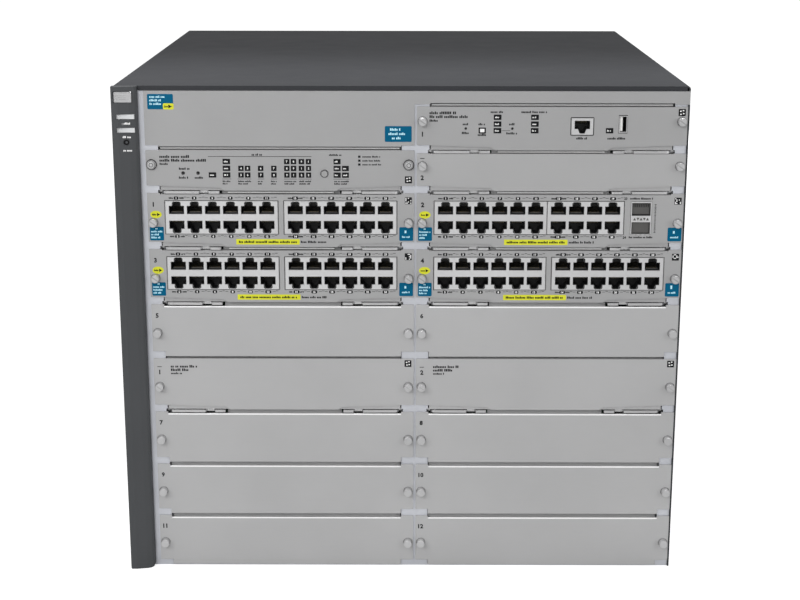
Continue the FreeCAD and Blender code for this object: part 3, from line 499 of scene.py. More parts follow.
# The support module's face: title, words round the push dots, groups of lamp boxes
# over their rules, and a legend of three lines.
sheet = corner_print("support_face", "support")
for rise, width, size in ((22.6, 24.0, 2.2), (19.7, 37.0, 2.2), (16.9, 7.0, 1.8)):
    sheet.words(ink, 10.7, rise, width, size)
for left, rise, width in ((25.4, 13.2, 8.4), (25.2, 6.2, 6.6), (37.4, 6.2, 6.0), (81.6, 24.2, 7.6)):
    sheet.words(ink, left, rise, width, 1.8)
LAMP_ROWS = (18.8, 13.5, 8.3)
ALL, LOWER_TWO, LOWEST = (0, 1, 2), (1, 2), (2,)
lamp_boxes = [(51.1, 5.8, LOWEST), (62.0, 5.8, ALL), (73.1, 4.2, LOWER_TWO), (78.2, 4.3, LOWER_TWO),
              (88.3, 4.2, LOWER_TWO), (98.4, 4.2, LOWER_TWO), (108.4, 4.2, ALL), (113.6, 4.2, ALL),
              (119.7, 4.3, ALL), (125.1, 4.0, ALL), (147.1, 5.5, ALL), (153.5, 5.3, LOWER_TWO)]


def lamp_box(sheet, x, z, width, number=None):
    """Black box over a lamp, with a plain number or the marks of a short word let into it."""
    sheet.field(ink, [(x, z)], width, 4.1, 0.3)
    if number is None:
        sheet.words(white_ink, x - width * 0.32, z, width * 0.5, 1.3, 2)
    else:
        sheet.numbers(white_ink, [(number, x, z)], 1.7, 2)


for place, (x, width, rows) in enumerate(lamp_boxes):
    for k in rows:
        lamp_box(sheet, x, LAMP_ROWS[k], width, (place + k) % 9 + 1 if width < 5.0 else None)
sheet.field(ink, [(87.7, 22.7)], 79.5, 0.35, 0.1)
for at, width in ((62.0, 7.0), (75.6, 10.6), (88.3, 5.0), (98.4, 5.0), (111.0, 10.0), (122.4, 10.0),
                  (150.4, 12.4)):
    sheet.field(ink, [(at, 5.2)], width, 0.3, 0.1)
    sheet.words(ink, at - width * 0.45, 3.4, width * 0.9, 1.3, lines=2, gap=1.9)
sheet.words(ink, 141.0, 24.0, 10.0, 1.5)
sheet.field(ink, [(164.2, h) for h in (22.7, 19.6, 16.6)], 1.9, 1.7, 0.2)
for h in (22.7, 19.6, 16.6):
    sheet.words(ink, 166.6, h, 14.0, 1.4)
seal(sheet, SEAL_X, 4.7, ((-1.1, 1.1), (1.0, -0.7), (-0.8, -1.1), (0.8, 1.5)))
sheet.finish()

# The manager module's face: title, words and lamp boxes, frames round the console
# jack and the auxiliary port, and a place number.
sheet = corner_print("manager_face", "manager")
for rise, width, size in ((24.8, 21.5, 2.2), (21.9, 29.8, 2.2), (18.9, 6.5, 1.8)):
    sheet.words(ink, 9.6, rise, width, size)
for left, rise, width in ((35.0, 16.2, 4.6), (34.4, 9.4, 6.0), (47.0, 16.2, 4.6), (46.6, 8.0, 7.0),
                          (56.2, 25.6, 9.6), (79.6, 25.6, 19.6), (70.4, 16.2, 4.6), (68.4, 9.2, 8.6)):
    sheet.words(ink, left, rise, width, 1.8)
sheet.field(ink, [(49.9, 11.3)], 5.6, 4.6, 0.3)
sheet.field(white_ink, [(49.9, 11.3)], 3.4, 2.6, 0.3, 2)
for at in (61.5, 90.0):
    for k, h in enumerate((21.5, 16.3, 11.2)):
        lamp_box(sheet, at, h, 5.9)
sheet.field(ink, [(68.0, 11.2)], 6.8, 0.3, 0.1)
sheet.field(ink, [(126.3, 21.3), (126.3, 7.8)], 17.4, 0.6, 0.1)
sheet.field(ink, [(117.6, 14.55), (135.0, 14.55)], 0.6, 13.5, 0.1)
lamp_box(sheet, 147.2, 11.3, 5.7)
sheet.field(ink, [(157.4, 23.1), (157.4, 9.5)], 6.9, 0.4, 0.1)
sheet.words(ink, 122.0, 5.4, 8.4, 1.8)
sheet.words(ink, 145.8, 5.4, 14.0, 1.8)
seal(sheet, SEAL_X + 0.1, 25.3, ((-1.1, 1.0), (1.1, -0.8), (-0.9, -1.3), (0.9, 1.5)))
sheet.numbers(ink, [(1, 4.2, 8.4)], 3.8)
sheet.finish()

# The spare carrier, the fabric modules and the blank covers carry little more than a
# place number.
sheet = corner_print("spare_manager_face", "spare_manager")
sheet.numbers(ink, [(2, 4.2, 6.4)], 3.8)
sheet.field(ink, [(4.2, 21.4)], 3.4, 0.5, 0.1)
sheet.finish()
for k, name in enumerate(("fabric_1", "fabric_2")):
    sheet = corner_print(name + "_face", name)
    for rise, width, size in ((32.0, 20.5, 2.2), (29.1, 15.0, 2.2), (26.2, 9.0, 1.7)):
        sheet.words(ink, 13.6, rise, width, size)
    sheet.numbers(ink, [(k + 1, 4.6, 27.2)], 3.8)
    sheet.field(ink, [(4.6, 31.6)], 3.4, 0.5, 0.1)
    seal(sheet, SEAL_X, 34.6, ((-1.1, 1.0), (1.0, -0.8), (-0.8, -1.2), (0.8, 1.6)))
    sheet.finish()
BLANK_COLUMNS, BLANK_ROWS = (0.0, 208.4), (0.0, 44.45, 88.9, 177.8)
blank_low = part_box("blank_covers")[0]
blank_corner = (blank_low.x, blank_low.z + 4.0 * MM)
for k, (rise, column) in enumerate((r, c) for r in BLANK_ROWS[::-1] for c in BLANK_COLUMNS):
    x, z = blank_corner[0] + column * MM, blank_corner[1] + rise * MM
    sheet = Print("blank_face_" + str(k + 5), "chassis", x, z)
    sheet.numbers(ink, [(k + 5, 4.3, 29.3)], 3.8)
    sheet.finish()

# Two blue foil tags on the fascia, one with a small yellow one; the words under the
# lamp windows of the bezel; and the dark locator lens.
sheet = Print("fascia", "chassis", 0.0, 0.0)
sheet.field(blue_foil, [(-183.5, 381.25)], 19.8, 11.7, 0.9)
sheet.words(pale_ink, -191.6, 385.0, 12.0, 1.7, 2, lines=3, gap=2.7)
sheet.field(yellow_foil, [(-177.4, 377.6)], 8.2, 4.8, 1.1, 3)
sheet.words(ink, -180.4, 377.6, 2.6, 1.6, 4)
sheet.add(ink, slab(np.array([(0.0, -1.4), (2.8, 0), (0.0, 1.4)]) * MM, 0, -FILM), [(-177.4, 377.6)], 4)
sheet.field(blue_foil, [(-2.2, 356.7)], 20.6, 12.2, 0.9)
for left, rise, width in ((-8.4, 360.2, 8.4), (-9.6, 356.9, 13.4), (-7.0, 353.6, 7.2)):
    sheet.words(pale_ink, left, rise, width, 2.0, 2)
sheet.finish()
sheet = Print("bezel", "chassis", 0.0, 0.0, FACE - 7.3 * MM)
for x, z, width in ((-210.7, 365.5, 9.6), (-209.6, 355.2, 7.4), (-210.2, 344.9, 10.8)):
    sheet.words(white_ink, x - width / 2, z, width, 1.7)
sheet.finish()
sheet = Print("locator_lens", "chassis", 0.0, 0.0, FACE - 6.4 * MM)
sheet.oval(ink, [(-209.2, 351.0)], 4.3, 4.3)
sheet.oval(bezel_plastic, [(-209.2, 351.0)], 1.8, 1.8, 2)
sheet.finish()

# ---- Network jacks ---------------------------------------------------------------
# Shielded blocks of stacked jacks.  The shield is bright nickel-plated steel; each
# opening holds a black moulded liner and eight sprung gold contacts.
HALF, STEP_HALF, KEY_HALF = 5.9, 3.3, 1.9
TALL, KEY_TOP = 6.5, 9.9
RIGHT_SIDE = [(HALF, 0), (HALF, TALL), (STEP_HALF, TALL), (KEY_HALF, KEY_TOP)]
OPENING = np.array([(-HALF, 0)] + RIGHT_SIDE + [(-x, z) for x, z in RIGHT_SIDE[:0:-1]]) * MM


def offset(outline, inset):
    """Outline moved inwards: each corner slides along the sum of its two edge normals."""
    before, after = np.roll(outline, 1, 0), np.roll(outline, -1, 0)
    first, second = outline - before, after - outline
    normal = lambda e: np.stack([-e[:, 1], e[:, 0]], -1) / np.linalg.norm(e, axis=1, keepdims=True)
    a, b = normal(first), normal(second)
    return outline + inset * (a + b) / (1 + (a * b).sum(1, keepdims=True))


def liner(outline, mouth, deep, wall):
    """Cup: outer wall, front rim, inner wall and floor, carried along y."""
    outer, inner = offset(outline, 0.03 * MM), offset(outline, wall)
    rings = [(outer, deep), (outer, mouth), (inner, mouth), (inner, deep - 0.2 * MM)]
    return tube([np.insert(ring, 1, y, axis=1) for ring, y in rings])


def flip(shape):
    """The same shape upside down, with its faces turned to stay outwards."""
    points, faces = shape
    return points * np.array([1, 1, -1]), [f[::-1] for f in faces]


def contact_comb(count, pitch, width, path):
    """Sprung contacts side by side: a flat strip carried along a path of (y, z) points."""
    section = ((-1, 0.16), (1, 0.16), (1, 0), (-1, 0))
    rings = [np.array([(s * width / 2, y, z + h) for s, h in section]) * MM for y, z in path]
    return repeat(tube(rings), [((i - (count - 1) / 2) * pitch * MM, 0, 0) for i in range(count)])


jack_black = coated("jack_liner", (0.004, 0.004, 0.0045), (0.007, 0.007, 0.008), (0.4, 0.5))
jack_grey = coated("jack_ledge", (0.030, 0.030, 0.031), (0.042, 0.042, 0.043), (0.4, 0.5))
gold = coated("gold_contact", (0.46, 0.38, 0.22), (0.54, 0.45, 0.27), (0.3, 0.38), metal=1.0)
cup = liner(OPENING, 0.55 * MM, 12.95 * MM, 0.3 * MM)
bar = slab(ring_outline(9.6 * MM, 0.9 * MM, 0.1 * MM, 1), 12.0 * MM, 3.2 * MM, 0.1 * MM)
ledge = repeat(bar, [(0, 0, 0.85 * MM)])
comb = contact_comb(8, 1.02, 0.42, [(3.4, 1.3), (5.5, 1.35), (9.0, 2.6), (12.2, 3.9)])
left_step = np.array([(-3.4, 6.52), (-3.32, 6.52), (-1.93, 9.88), (-2.4, 9.88), (-3.4, 9.0)]) * MM
board_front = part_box("a_port_board")[0].y - FACE
right_step = (left_step * (-1, 1))[::-1]
steps = join([slab(side, board_front, board_front - FILM) for side in (left_step, right_step)])
UPPER_ROW, LOWER_ROW = 22.0, 16.8
for name in "abcd":
    columns = np.concatenate([JACKS, second_block(name)])
    upper, lower = (on_face(name, [(c, h) for c in columns]) for h in (UPPER_ROW, LOWER_ROW))
    for label, shape, finish in (("liners", cup, jack_black), ("key_steps", steps, jack_black),
                                 ("ledges", ledge, jack_grey), ("contacts", comb, gold)):
        both = join([repeat(shape, upper), repeat(flip(shape), lower)])
        put(name + "_jack_" + label, both, finish, MODULES[name])


def add_node(nodes, kind, sources, **settings):
    """New node of a kind, whose inputs take sockets or plain numbers; gives its outputs."""
    node = nodes.nodes.new("ShaderNode" + kind)
    for key, value in settings.items():
        setattr(node, key, value)
    for socket, source in sources.items():
        if isinstance(source, float):
            node.inputs[socket].default_value = source
        else:
            nodes.links.new(source, node.inputs[socket])
    return node.outputs


def inside(nodes, place, low, high):
    """1 within a box of the object's coordinates, 0 outside it; None leaves a side open."""
    axes = add_node(nodes, "SeparateXYZ", {0: place})
    result = None
    for axis in range(3):
        for bound, way in ((low[axis], "GREATER_THAN"), (high[axis], "LESS_THAN")):
            if bound is not None:
                test = add_node(nodes, "Math", {0: axes[axis], 1: float(bound)}, operation=way)[0]
                both = {0: result, 1: test}
                result = test if result is None else add_node(nodes, "Math", both, operation="MULTIPLY")[0]
    return result


def assembly(name, zones):
    """One material for soldered parts: each zone is a box with its own tone, gloss and metal."""
    finish, nodes, shader, place = link_finish(name)
    cloud, fine = vary(nodes, place, 14.0), vary(nodes, place, 60.0)
    look = None
    for low, high, dark, light, gloss, metallic in zones:
        zone = (shades(nodes, cloud, dark, light), between(nodes, fine, *gloss), metallic)
        if look is None:
            look = zone
            continue
        mask = inside(nodes, place, low, high)
        colour = add_node(nodes, "Mix", {0: mask, 6: look[0], 7: zone[0]}, data_type="RGBA")[2]
        rough, metal = (add_node(nodes, "Mix", {0: mask, 2: look[k], 3: zone[k]})[0] for k in (1, 2))
        look = (colour, rough, metal)
    for socket, source in zip(("Base Color", "Roughness", "Metallic"), look):
        nodes.links.new(source, shader.inputs[socket])
    relief(nodes, shader, vary(nodes, place, 700.0, detail=2.0), 0.00001)
    return finish


ANY = (None, None, None)
BOARD_TOP = 6.5 * MM
CHIP_BLACK = ((0.014, 0.014, 0.015), (0.022, 0.022, 0.024), (0.45, 0.6), 0.0)
LAMINATE = ((0.012, 0.062, 0.030), (0.020, 0.090, 0.042), (0.28, 0.4), 0.0)
SHIELD = ((0.68, 0.68, 0.685), (0.76, 0.76, 0.765), (0.32, 0.40), 0.70)
HEAT_SINK = ((0.24, 0.24, 0.25), (0.30, 0.30, 0.31), (0.4, 0.5), 0.9)
SHIELD_BACK = {**dict.fromkeys("abcd", 26.6), "manager": 20.6}
boards = {name + "_port_board": name for name in "abcd"}
boards.update({name + "_board": name for name in ("support", "manager", "fabric_1", "fabric_2")})
for node, name in boards.items():
    top = corner_of(TRAYS[name])[1] + BOARD_TOP
    zones = [(ANY, ANY, *LAMINATE), ((None, None, top + 0.05 * MM), ANY, *CHIP_BLACK)]
    if name.startswith("fabric"):
        zones.append(((None, None, top + 0.1 * MM), (None, FACE + 165 * MM, None), *HEAT_SINK))
    if name in SHIELD_BACK:
        zones.append((ANY, (None, FACE + SHIELD_BACK[name] * MM, None), *SHIELD))
    wear(node, assembly(node + "_finish", zones))

# The console jack and the auxiliary port sit in the manager module; two optical cages
# with shut flaps, spring fingers and a notched latch web sit at the end of module b.  The
# flaps' dark grey is painted shade of the cages' insides, and the web's notches are dark
# films of painted shade.
console = on_face("manager", [(126.3, 19.0)])
port_liner = liner(ring_outline(5.0 * MM, 11.7 * MM, 0.2 * MM, 1), 0.6 * MM, 12.9 * MM, 0.2 * MM)
tongue = slab(ring_outline(1.9 * MM, 10.7 * MM, 0.2 * MM, 1), 12.9 * MM, 0.7 * MM, 0.1 * MM)
tongue_white = coated("port_tongue", (0.70, 0.70, 0.68), (0.78, 0.78, 0.76), (0.35, 0.45))
put("console_jack_liner", repeat(flip(cup), console), jack_black, "manager_module")
put("console_jack_contacts", repeat(flip(comb), console), gold, "manager_module")
port_place, tongue_place = on_face("manager", [(157.45, 16.3), (156.1, 16.3)])
put("auxiliary_port_liner", repeat(port_liner, [port_place]), jack_black, "manager_module")
put("auxiliary_port_tongue", repeat(tongue, [tongue_place]), tongue_white, "manager_module")
shield_steel = plated("cage_plate", (0.66, 0.66, 0.66), (0.76, 0.76, 0.76), (0.28, 0.38), metal=0.9)
# Dark grey of the flaps and of the latch notches: painted shade of the cages' insides and of the cut-outs.
cage_painted_shade = coated("cage_flap", (0.085, 0.083, 0.08), (0.12, 0.118, 0.115), (0.4, 0.5), metal=0.3)
CAGE_X, WEB_Z = 173.9, 18.7
cages = [(CAGE_X, 11.5), (CAGE_X, 26.25)]
cage_liner = liner(ring_outline(14.2 * MM, 9.2 * MM, 0.3 * MM, 1), 0.9 * MM, 44.5 * MM, 0.25 * MM)
flap = slab(ring_outline(13.4 * MM, 8.4 * MM, 0.4 * MM, 2), 2.6 * MM, 1.6 * MM, 0.2 * MM)
finger = slab(SQUARE * (0.3 * MM, 1.25 * MM), 1.6 * MM, 1.3 * MM)
latch_outline = np.array([(-2.6, -1.9), (2.6, -1.9), (1.5, 1.9), (-1.5, 1.9)]) * MM
latch = slab(latch_outline, 0.2 * MM, -0.55 * MM, 0.15 * MM)
# Dark triangle films on the front of the latch web: painted shade where its cut-outs are.
notch = slab(np.array([(-1.1, -1.0), (1.1, -1.0), (0.0, 1.1)]) * MM, -0.5 * MM, -0.62 * MM)
upright, hanging = ([(s * MM, 0, 0) for s in row] for row in ((-5.0, 0.0, 5.0), (-2.5, 2.5)))
notch_shades = join([repeat(notch, upright), repeat(flip(notch), hanging)])
spring = slab(ring_outline(2.4 * MM, 0.5 * MM, 0.2 * MM, 1), 0.2 * MM, -0.5 * MM, 0.08 * MM)
fingers = [(CAGE_X + s, 29.0) for s in np.linspace(-5.6, 5.6, 9)]
springs = [(CAGE_X + s, h) for s in (-5.2, -1.9, 1.9, 5.2) for h in (6.15, 32.0)]
web = [(CAGE_X, WEB_Z)]
cage_parts = {"cage_liners": (cage_liner, cages, jack_black), "cage_flaps": (flap, cages, cage_painted_shade),
              "cage_fingers": (finger, fingers, jack_black), "cage_latches": (latch, web, shield_steel),
              "latch_notches": (notch_shades, web, cage_painted_shade), "cage_springs": (spring, springs, shield_steel)}
for label, (shape, spots, finish) in cage_parts.items():
    put("optical_" + label, repeat(shape, on_face("b", spots)), finish, "port_module_b")
sheet = corner_print("cage_face", "b")
sheet.numbers(ink, [(23, 161.5, 34.8), (24, 161.5, 4.0)], 2.0)
for h in (34.8, 4.2):
    sheet.words(ink, 165.0, h, 18.0, 1.6)
for h in np.arange(8.0, 31.0, 1.05):
    sheet.field(grey_ink, [(184.8, h)], rng.uniform(0.9, 1.5), 0.55, 0.05)
sheet.finish()

# ---- Gap strips -------------------------------------------------------------------
# Plated spring strips close the gap over each face.  Short flat ends stand beside the
# tips of the levers above; between them a shallow roll bulges into the gap, pale grey as
# bright spring steel and paler still as painted highlight that lifts the gap's shade.
FACE_MIDDLE = 103.25
STRIP_X = (59.75, 146.75)
UNDER_LEVERS, FULL = 41.0, 92.0
strip_ends = {"spare_manager": (25.0, 27.3), **dict.fromkeys("abcd", (37.5, 40.0))}
rolls = {"support": (27.8, 29.8, FULL), "manager": (29.6, 31.6, FULL),
         "spare_manager": (25.1, 27.2, UNDER_LEVERS), **dict.fromkeys("abcd", (37.7, 39.8, UNDER_LEVERS))}


def on_blanks(spots, rows=BLANK_ROWS):
    """Places on the blank covers of some rows, from millimetres of each cover's corner."""
    x, z = blank_corner
    return [(x + (c + a) * MM, FACE, z + (r + b) * MM)
            for c in BLANK_COLUMNS for a, b in spots for r in rows]


def strip_end(low, high):
    """Upright sheet end, 4.5 mm long and 1 mm thick, just behind the fold of a face."""
    return slab(SQUARE * (2.25 * MM, (high - low) / 2 * MM), 6.0 * MM, 5.0 * MM)


def spring_roll(height, half, deep=3.4):
    """Closed bar along x whose front bulges forward: y = -deep * sqrt(1 - (z / half height)^2)."""
    turn = np.linspace(pi, 0, 9)
    return tube([np.array([(side, -np.sin(a) * deep, -np.cos(a) * height / 2) for a in turn]) * MM
                 for side in (-half, half)])


for name, (low, high) in strip_ends.items():
    ends = repeat(strip_end(low, high), on_face(name, [(s, (low + high) / 2) for s in STRIP_X]))
    put(name + "_strip_ends", ends, face_finish(name + "_strip_plate", 0.84), MODULES[name])
ends = repeat(strip_end(36.0, 40.0), on_blanks([(s, 38.0) for s in STRIP_X], BLANK_ROWS[2:]))
put("blank_strip_ends", ends, NODES["blank_covers"].material_slots[0].material, "chassis")
# Pale grey of the roll: bright spring steel, lifted further as painted highlight against the shade of the
# gap.
roll_painted_highlight = coated("spring_roll_painted_highlight", (0.56, 0.56, 0.56), (0.62, 0.62, 0.62), (0.35, 0.45), metal=0.1)
for name, (low, high, half) in rolls.items():
    places = on_face(name, [(FACE_MIDDLE, (low + high) / 2)], y=4.9)
    put(name + "_spring_roll", repeat(spring_roll(high - low, half), places), roll_painted_highlight, MODULES[name])

# Upper edges of the blank covers: a thin near-white strip stands a little into the gap
# above, a painted highlight in place of the lit top of each cover's fold.
edge_painted_highlight = coated("painted_highlight_edge", (0.92, 0.92, 0.92), (0.96, 0.96, 0.96), (0.35, 0.45), metal=0.1)
edge = slab(SQUARE * (93.2 * MM, 0.5 * MM), 0.9 * MM, 0.05 * MM, 0.15 * MM)
put("blank_top_painted_highlights", repeat(edge, on_blanks([(FACE_MIDDLE, 36.5)])), edge_painted_highlight, "chassis")

# ---- Captive screws ---------------------------------------------------------------
# Slotted thumb screws of turned steel, one at each end of a module or blank cover, each
# in a thin collar whose dark grey is painted shade round the head.  The support module has low screws in
# dark washers.
screw_steel = plated("turned_screw_steel", (0.50, 0.50, 0.505), (0.58, 0.58, 0.585), (0.30, 0.40),
                     metal=0.55, along=(1, 8, 1))
wear("cover_screws", screw_steel)


def slotted_head(radius, proud, slot_width, slot_deep, turn):
    """Disc grid: rows across the slot and points along each chord, pushed in where |across| is
    under half the slot; its chamfered rim is carried straight back to the face."""
    half = slot_width / 2
    across = np.concatenate([-radius * np.cos(np.linspace(0.12, 1.35, 7)), [-half - 1e-5, -half + 1e-5]])
    across = np.concatenate([across, -across[::-1]])
    along = np.sin(np.linspace(-pi / 2, pi / 2, 13))
    v, u = np.meshgrid(across, along, indexing="ij")
    px, pz = u * np.sqrt(radius ** 2 - v ** 2), v
    chamfer = 0.55 * MM * np.clip((np.hypot(px, pz) - radius * 0.86) / (radius * 0.14), 0, 1)
    py = -proud + chamfer + slot_deep * (np.abs(v) < half)
    top = np.stack([px * np.cos(turn) - pz * np.sin(turn), py, px * np.sin(turn) + pz * np.cos(turn)], -1)
    top = top.reshape(-1, 3)
    grid = np.arange(v.size).reshape(v.shape)
    faces = np.stack([grid[:-1, :-1], grid[:-1, 1:], grid[1:, 1:], grid[1:, :-1]], -1)
    faces = faces.reshape(-1, 4).tolist()
    rim = np.concatenate([grid[0], grid[1:, -1], grid[-1, -2::-1], grid[-2:0:-1, 0]])
    wall = top[rim] * (1, 0, 1) - (0, 0.02 * MM, 0)
    foot = np.arange(len(rim)) + len(top)
    faces += np.stack([rim, foot, np.roll(foot, -1), np.roll(rim, -1)], -1).tolist()
    return np.concatenate([top, wall]), faces + [list(foot[::-1])]


def closed_grid(index, one, two):
    """Quads between numbered points whose rows close on themselves along two axes."""
    over = np.roll(index, -1, one)
    quads = np.stack([index, over, np.roll(over, -1, two), np.roll(index, -1, two)], -1)
    return quads.reshape(-1, 4).tolist()


def dished_washer(inner, outer, height):
    """Ring whose height follows half a sine from its inner to its outer edge."""
    t = np.linspace(0, 1, 7)
    radius, rise = inner + (outer - inner) * t, -height * np.sin(pi * t) - 0.02 * MM
    radius, rise = np.append(radius, [outer, inner]), np.append(rise, [0, 0])
    r, a = np.meshgrid(radius, np.linspace(0, 2 * pi, 33)[:-1], indexing="ij")
    points = np.stack([r * np.cos(a), rise[:, None] + 0 * a, r * np.sin(a)], -1).reshape(-1, 3)
    return points, closed_grid(np.arange(r.size).reshape(r.shape), 0, 1)


SCREW_X, MID_RISE = (4.3, 202.2), 15.4
SCREW_RISE = dict.fromkeys(MODULES, MID_RISE)
SCREW_RISE.update(support=16.3, manager=18.3, spare_manager=15.6)
head = slotted_head(3.25 * MM, 5.05 * MM, 1.0 * MM, 1.1 * MM, radians(-35))
collar = dished_washer(3.3 * MM, 3.7 * MM, 0.2 * MM)
# Dark grey of the collars: painted shade round each screw head.
collar_painted_shade = plated("screw_painted_shade_collar", (0.16, 0.16, 0.165), (0.24, 0.24, 0.245), (0.3, 0.4))
screws = {name: (on_face(name, [(s, SCREW_RISE[name]) for s in SCREW_X]), body)
          for name, body in MODULES.items()}
screws["blank"] = (on_blanks([(s, MID_RISE) for s in SCREW_X]), "chassis")
places, body = screws.pop("support")
for name, (spots, owner) in screws.items():
    put(name + "_screw_heads", repeat(head, spots), screw_steel, owner)
    put(name + "_screw_collars", repeat(collar, spots), collar_painted_shade, owner)
low_head = slotted_head(2.75 * MM, 2.45 * MM, 0.001 * MM, 0.0, 0.0)
put("support_screw_heads", repeat(low_head, places), screw_steel, body)
low_screws = [(s, SCREW_RISE["support"]) for s in SCREW_X]
washers = {"support_screw_washers": (3.5, 4.2, 1.5, low_screws, 0.0, jack_black),
           "support_screw_rings": (1.3, 1.7, 0.12, low_screws, -2.45, jack_black),
           "push_dot_rings": (1.05, 1.4, 0.1, [(28.5, 9.75), (40.0, 9.75)], 0.0, jack_black),
           "lamp_mode_ring": (2.75, 3.25, 0.2, [(137.3, 9.45)], 0.0, collar_painted_shade)}
for label, (inner, outer, height, spots, y, finish) in washers.items():
    washer = dished_washer(inner * MM, outer * MM, height * MM)
    put(label, repeat(washer, on_face("support", spots, y)), finish, body)
for node in ("reset_button", "clear_button", "manager_reset_button", "shutdown_button"):
    wear(node, jack_black)
wear("lamp_mode_button", coated("grey_button", (0.30, 0.30, 0.30), (0.36, 0.36, 0.36), (0.4, 0.5)))

# ---- Boards inside -----------------------------------------------------------------
# Green laminate boards with black packages, small capacitors and chip resistors,
# soldered in rows; the midplane is the same laminate with press-fit connectors.
PLASTIC = ((0.018, 0.018, 0.02), (0.028, 0.028, 0.03), (0.4, 0.5), 0.0)
SHEET_FRONT, SHEET_BACK = FACE + 271.9 * MM, FACE + 275.3 * MM
wear("midplane", assembly("midplane_finish", [
    (ANY, ANY, *PLASTIC), ((None, SHEET_FRONT, None), (None, SHEET_BACK, None), *LAMINATE)]))
package = coated("chip_package", (0.016, 0.016, 0.017), (0.024, 0.024, 0.026), (0.4, 0.55))
solder = coated("tinned_part", (0.50, 0.50, 0.50), (0.62, 0.62, 0.62), (0.25, 0.35), metal=0.9)
can = coated("capacitor_can", (0.55, 0.55, 0.56), (0.66, 0.66, 0.67), (0.25, 0.35), metal=0.8)


def brick(width, deep, height, edge=0.05):
    """Low block on a board: foot, shoulder and a top drawn in by the edge."""
    sizes = ((width, deep, 0), (width, deep, height - edge), (width - 2 * edge, deep - 2 * edge, height))
    return tube([np.column_stack([SQUARE * (w / 2, d / 2), np.full(4, h)]) * MM for w, d, h in sizes])


def barrel(radius, height):
    """Upright can: a rounded profile turned through sixteen steps."""
    angle = np.linspace(0, 2 * pi, 17)[:-1]
    circle = np.stack([np.cos(angle), np.sin(angle)], -1) * radius
    profile = ((1.0, 0.0), (1.0, 0.92), (0.9, 1.0))
    return tube([np.column_stack([circle * r, np.full(16, h * height)]) * MM for r, h in profile])


PITCH, CLEARANCE = 9.0, 5.0
BOARD_SIDES, BOARD_BACK = (24.0, 186.0), 236.0
KIND_SHARES = (0.16, 0.14, 0.26, 0.18, 0.08, 0.18)


def populate(name, front, blocked):
    """Scatters parts on a 9 mm grid with a seeded choice of kind, clear of the blocked squares."""
    px, py = np.meshgrid(np.arange(*BOARD_SIDES, PITCH), np.arange(front, BOARD_BACK, PITCH), indexing="ij")
    grid = np.stack([px.ravel(), py.ravel()], -1)
    for *middle, size in blocked:
        grid = grid[(np.abs(grid - middle) > size / 2 + CLEARANCE).any(1)]
    kind = rng.choice(6, len(grid), p=KIND_SHARES)
    x, z = corner_of(TRAYS[name])

    def at(k, shape, xs=(0,), ys=(0,)):
        """Copies of a shape on each spot of a kind, one for every x and y beside it."""
        return repeat(shape, [(x + (a + i) * MM, FACE + (b + j) * MM, z + BOARD_TOP)
                              for a, b in grid[kind == k] for i in xs for j in ys])

    groups = {
        "packages": (package, [at(0, brick(6.2, 6.2, 1.3, 0.15)), at(1, brick(4.0, 6.6, 1.5, 0.15)),
                               at(2, brick(1.6, 0.8, 0.5), (2,), (2,))]),
        "leads": (solder, [at(0, brick(7.4, 0.35, 0.5), ys=(-2.3, -1.4, -0.5, 0.5, 1.4, 2.3)),
                           at(1, brick(5.6, 0.4, 0.5), ys=(-2.5, -1.2, 0, 1.2, 2.5)),
                           at(2, brick(1.0, 0.55, 0.45), (-2.6, 0, 2.6), (-2.4, 0, 2.4))]),
        "cans": (can, [at(3, barrel(2.0, 6.5)), at(4, barrel(3.4, 8.0))])}
    for label, (finish, shapes) in groups.items():
        put(name + "_board_" + label, join(shapes), finish, MODULES[name])


CHIPS = ((60, 90, 34), (146, 90, 34), (103, 150, 40))
CAGE_BLOCK = (174, 30, 34)
layouts = {"a": (36.0, CHIPS), "b": (36.0, (*CHIPS, CAGE_BLOCK)), "c": (36.0, CHIPS), "d": (36.0, CHIPS),
           "support": (24.0, ((60, 90, 20), (130, 120, 26))),
           "manager": (32.0, ((60, 100, 30), (130, 120, 24))),
           **dict.fromkeys(("fabric_1", "fabric_2"), (34.0, ((84, 130, 62), (114, 130, 62))))}
for name, layout in layouts.items():
    populate(name, *layout)

# ---- Fans and power supplies ----------------------------------------------------------
# Rear face of plated steel.  Four fans in black ducts sit behind finger guards, and
# four supplies below each have a mains inlet, vent slots and a coated pull handle.
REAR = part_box("rear_frame")[1].y
fan_low, fan_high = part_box("fan_tray")
DUCT_Z, DUCT_REACH = (fan_low.z + fan_high.z) / 2, 59.6 * MM
REAR_PLATE = ((0.44, 0.45, 0.46), (0.52, 0.53, 0.54), (0.38, 0.5), 0.85)
COATED = ((0.03, 0.031, 0.033), (0.045, 0.046, 0.05), (0.4, 0.5), 0.0)
inner_x = fan_high.x - 8.0 * MM
wear("fan_tray", assembly("fan_tray_finish", [
    (ANY, ANY, *REAR_PLATE),
    ((None, REAR - 31 * MM, DUCT_Z - DUCT_REACH), (None, REAR + 0.35 * MM, DUCT_Z + DUCT_REACH), *PLASTIC),
    ((-inner_x, REAR + 1.85 * MM, None), (inner_x, None, None), *COATED)]))
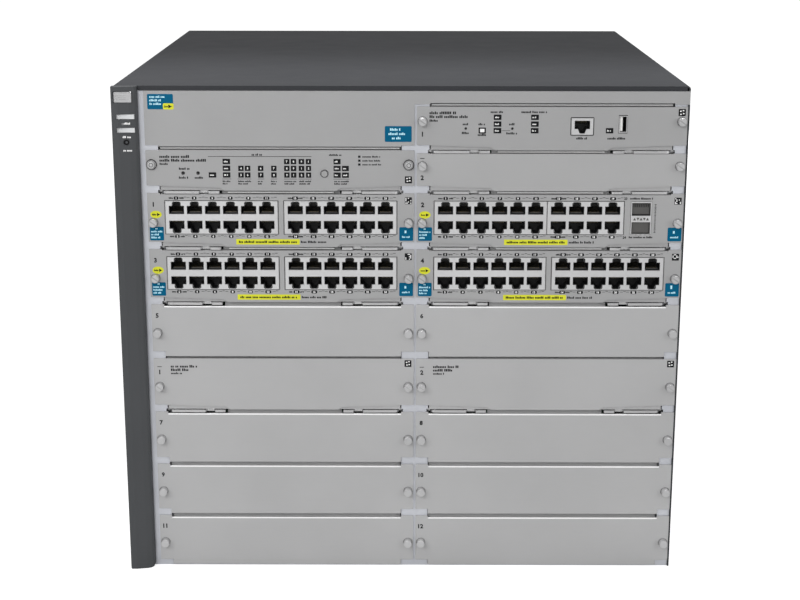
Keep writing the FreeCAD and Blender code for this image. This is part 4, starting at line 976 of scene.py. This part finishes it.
fan_plastic = coated("fan_blade", (0.012, 0.012, 0.013), (0.02, 0.02, 0.022), (0.35, 0.45))
HANDLE_Y = REAR + 1.9 * MM
for k in "1234":
    wear("fan_rotor_" + k, fan_plastic)
    low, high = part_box("power_supply_" + k)
    inlet, centre = low.x + 32 * MM, (low.z + high.z) / 2
    inlet_low = (inlet - 17 * MM, REAR - 18 * MM, centre - 13 * MM)
    inlet_high = (inlet + 17 * MM, HANDLE_Y, centre + 13 * MM)
    wear("power_supply_" + k, assembly("power_supply_finish_" + k, [
        (ANY, ANY, *REAR_PLATE), (inlet_low, inlet_high, *PLASTIC), ((None, HANDLE_Y, None), ANY, *COATED)]))

# Round wires of the finger guards, let into the rear plate, and the slotted heads of
# the fan tray's four thumb screws.
def wire_rings(radii, wire):
    """Tori about one middle: the wire's small circle carried round each ring's circle."""
    around, across = (np.linspace(0, 2 * pi, steps + 1)[:-1] for steps in (48, 6))
    r, a, b = np.meshgrid(radii, around, across, indexing="ij")
    reach = r + wire * np.cos(b)
    points = np.stack([reach * np.cos(a), wire * np.sin(b), reach * np.sin(a)], -1)
    return points.reshape(-1, 3), closed_grid(np.arange(r.size).reshape(r.shape), 2, 1)


guard = wire_rings(np.array([24.5, 30.0, 35.5, 41.0]) * MM, 0.75 * MM)
middles = [sum(corner.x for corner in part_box("fan_rotor_" + k)) / 2 for k in "1234"]
guard_wire = plated("guard_wire", (0.60, 0.60, 0.61), (0.70, 0.70, 0.71), (0.26, 0.36), metal=0.95)
put("finger_guard_wires", repeat(guard, [(x, REAR + 1.15 * MM, DUCT_Z) for x in middles]), guard_wire,
    "fan_module", smooth=True)
rear_points, rear_faces = slotted_head(3.5 * MM, 7.5 * MM, 1.0 * MM, 1.1 * MM, radians(25))
rear_head = (rear_points * (-1, -1, 1), rear_faces)
rises = (fan_low.z + 10 * MM, fan_high.z - 10 * MM)
places = [(s * 208.2 * MM, REAR + 2.0 * MM, h) for s in (-1, 1) for h in rises]
put("fan_tray_screw_heads", repeat(rear_head, places), screw_steel, "fan_module")
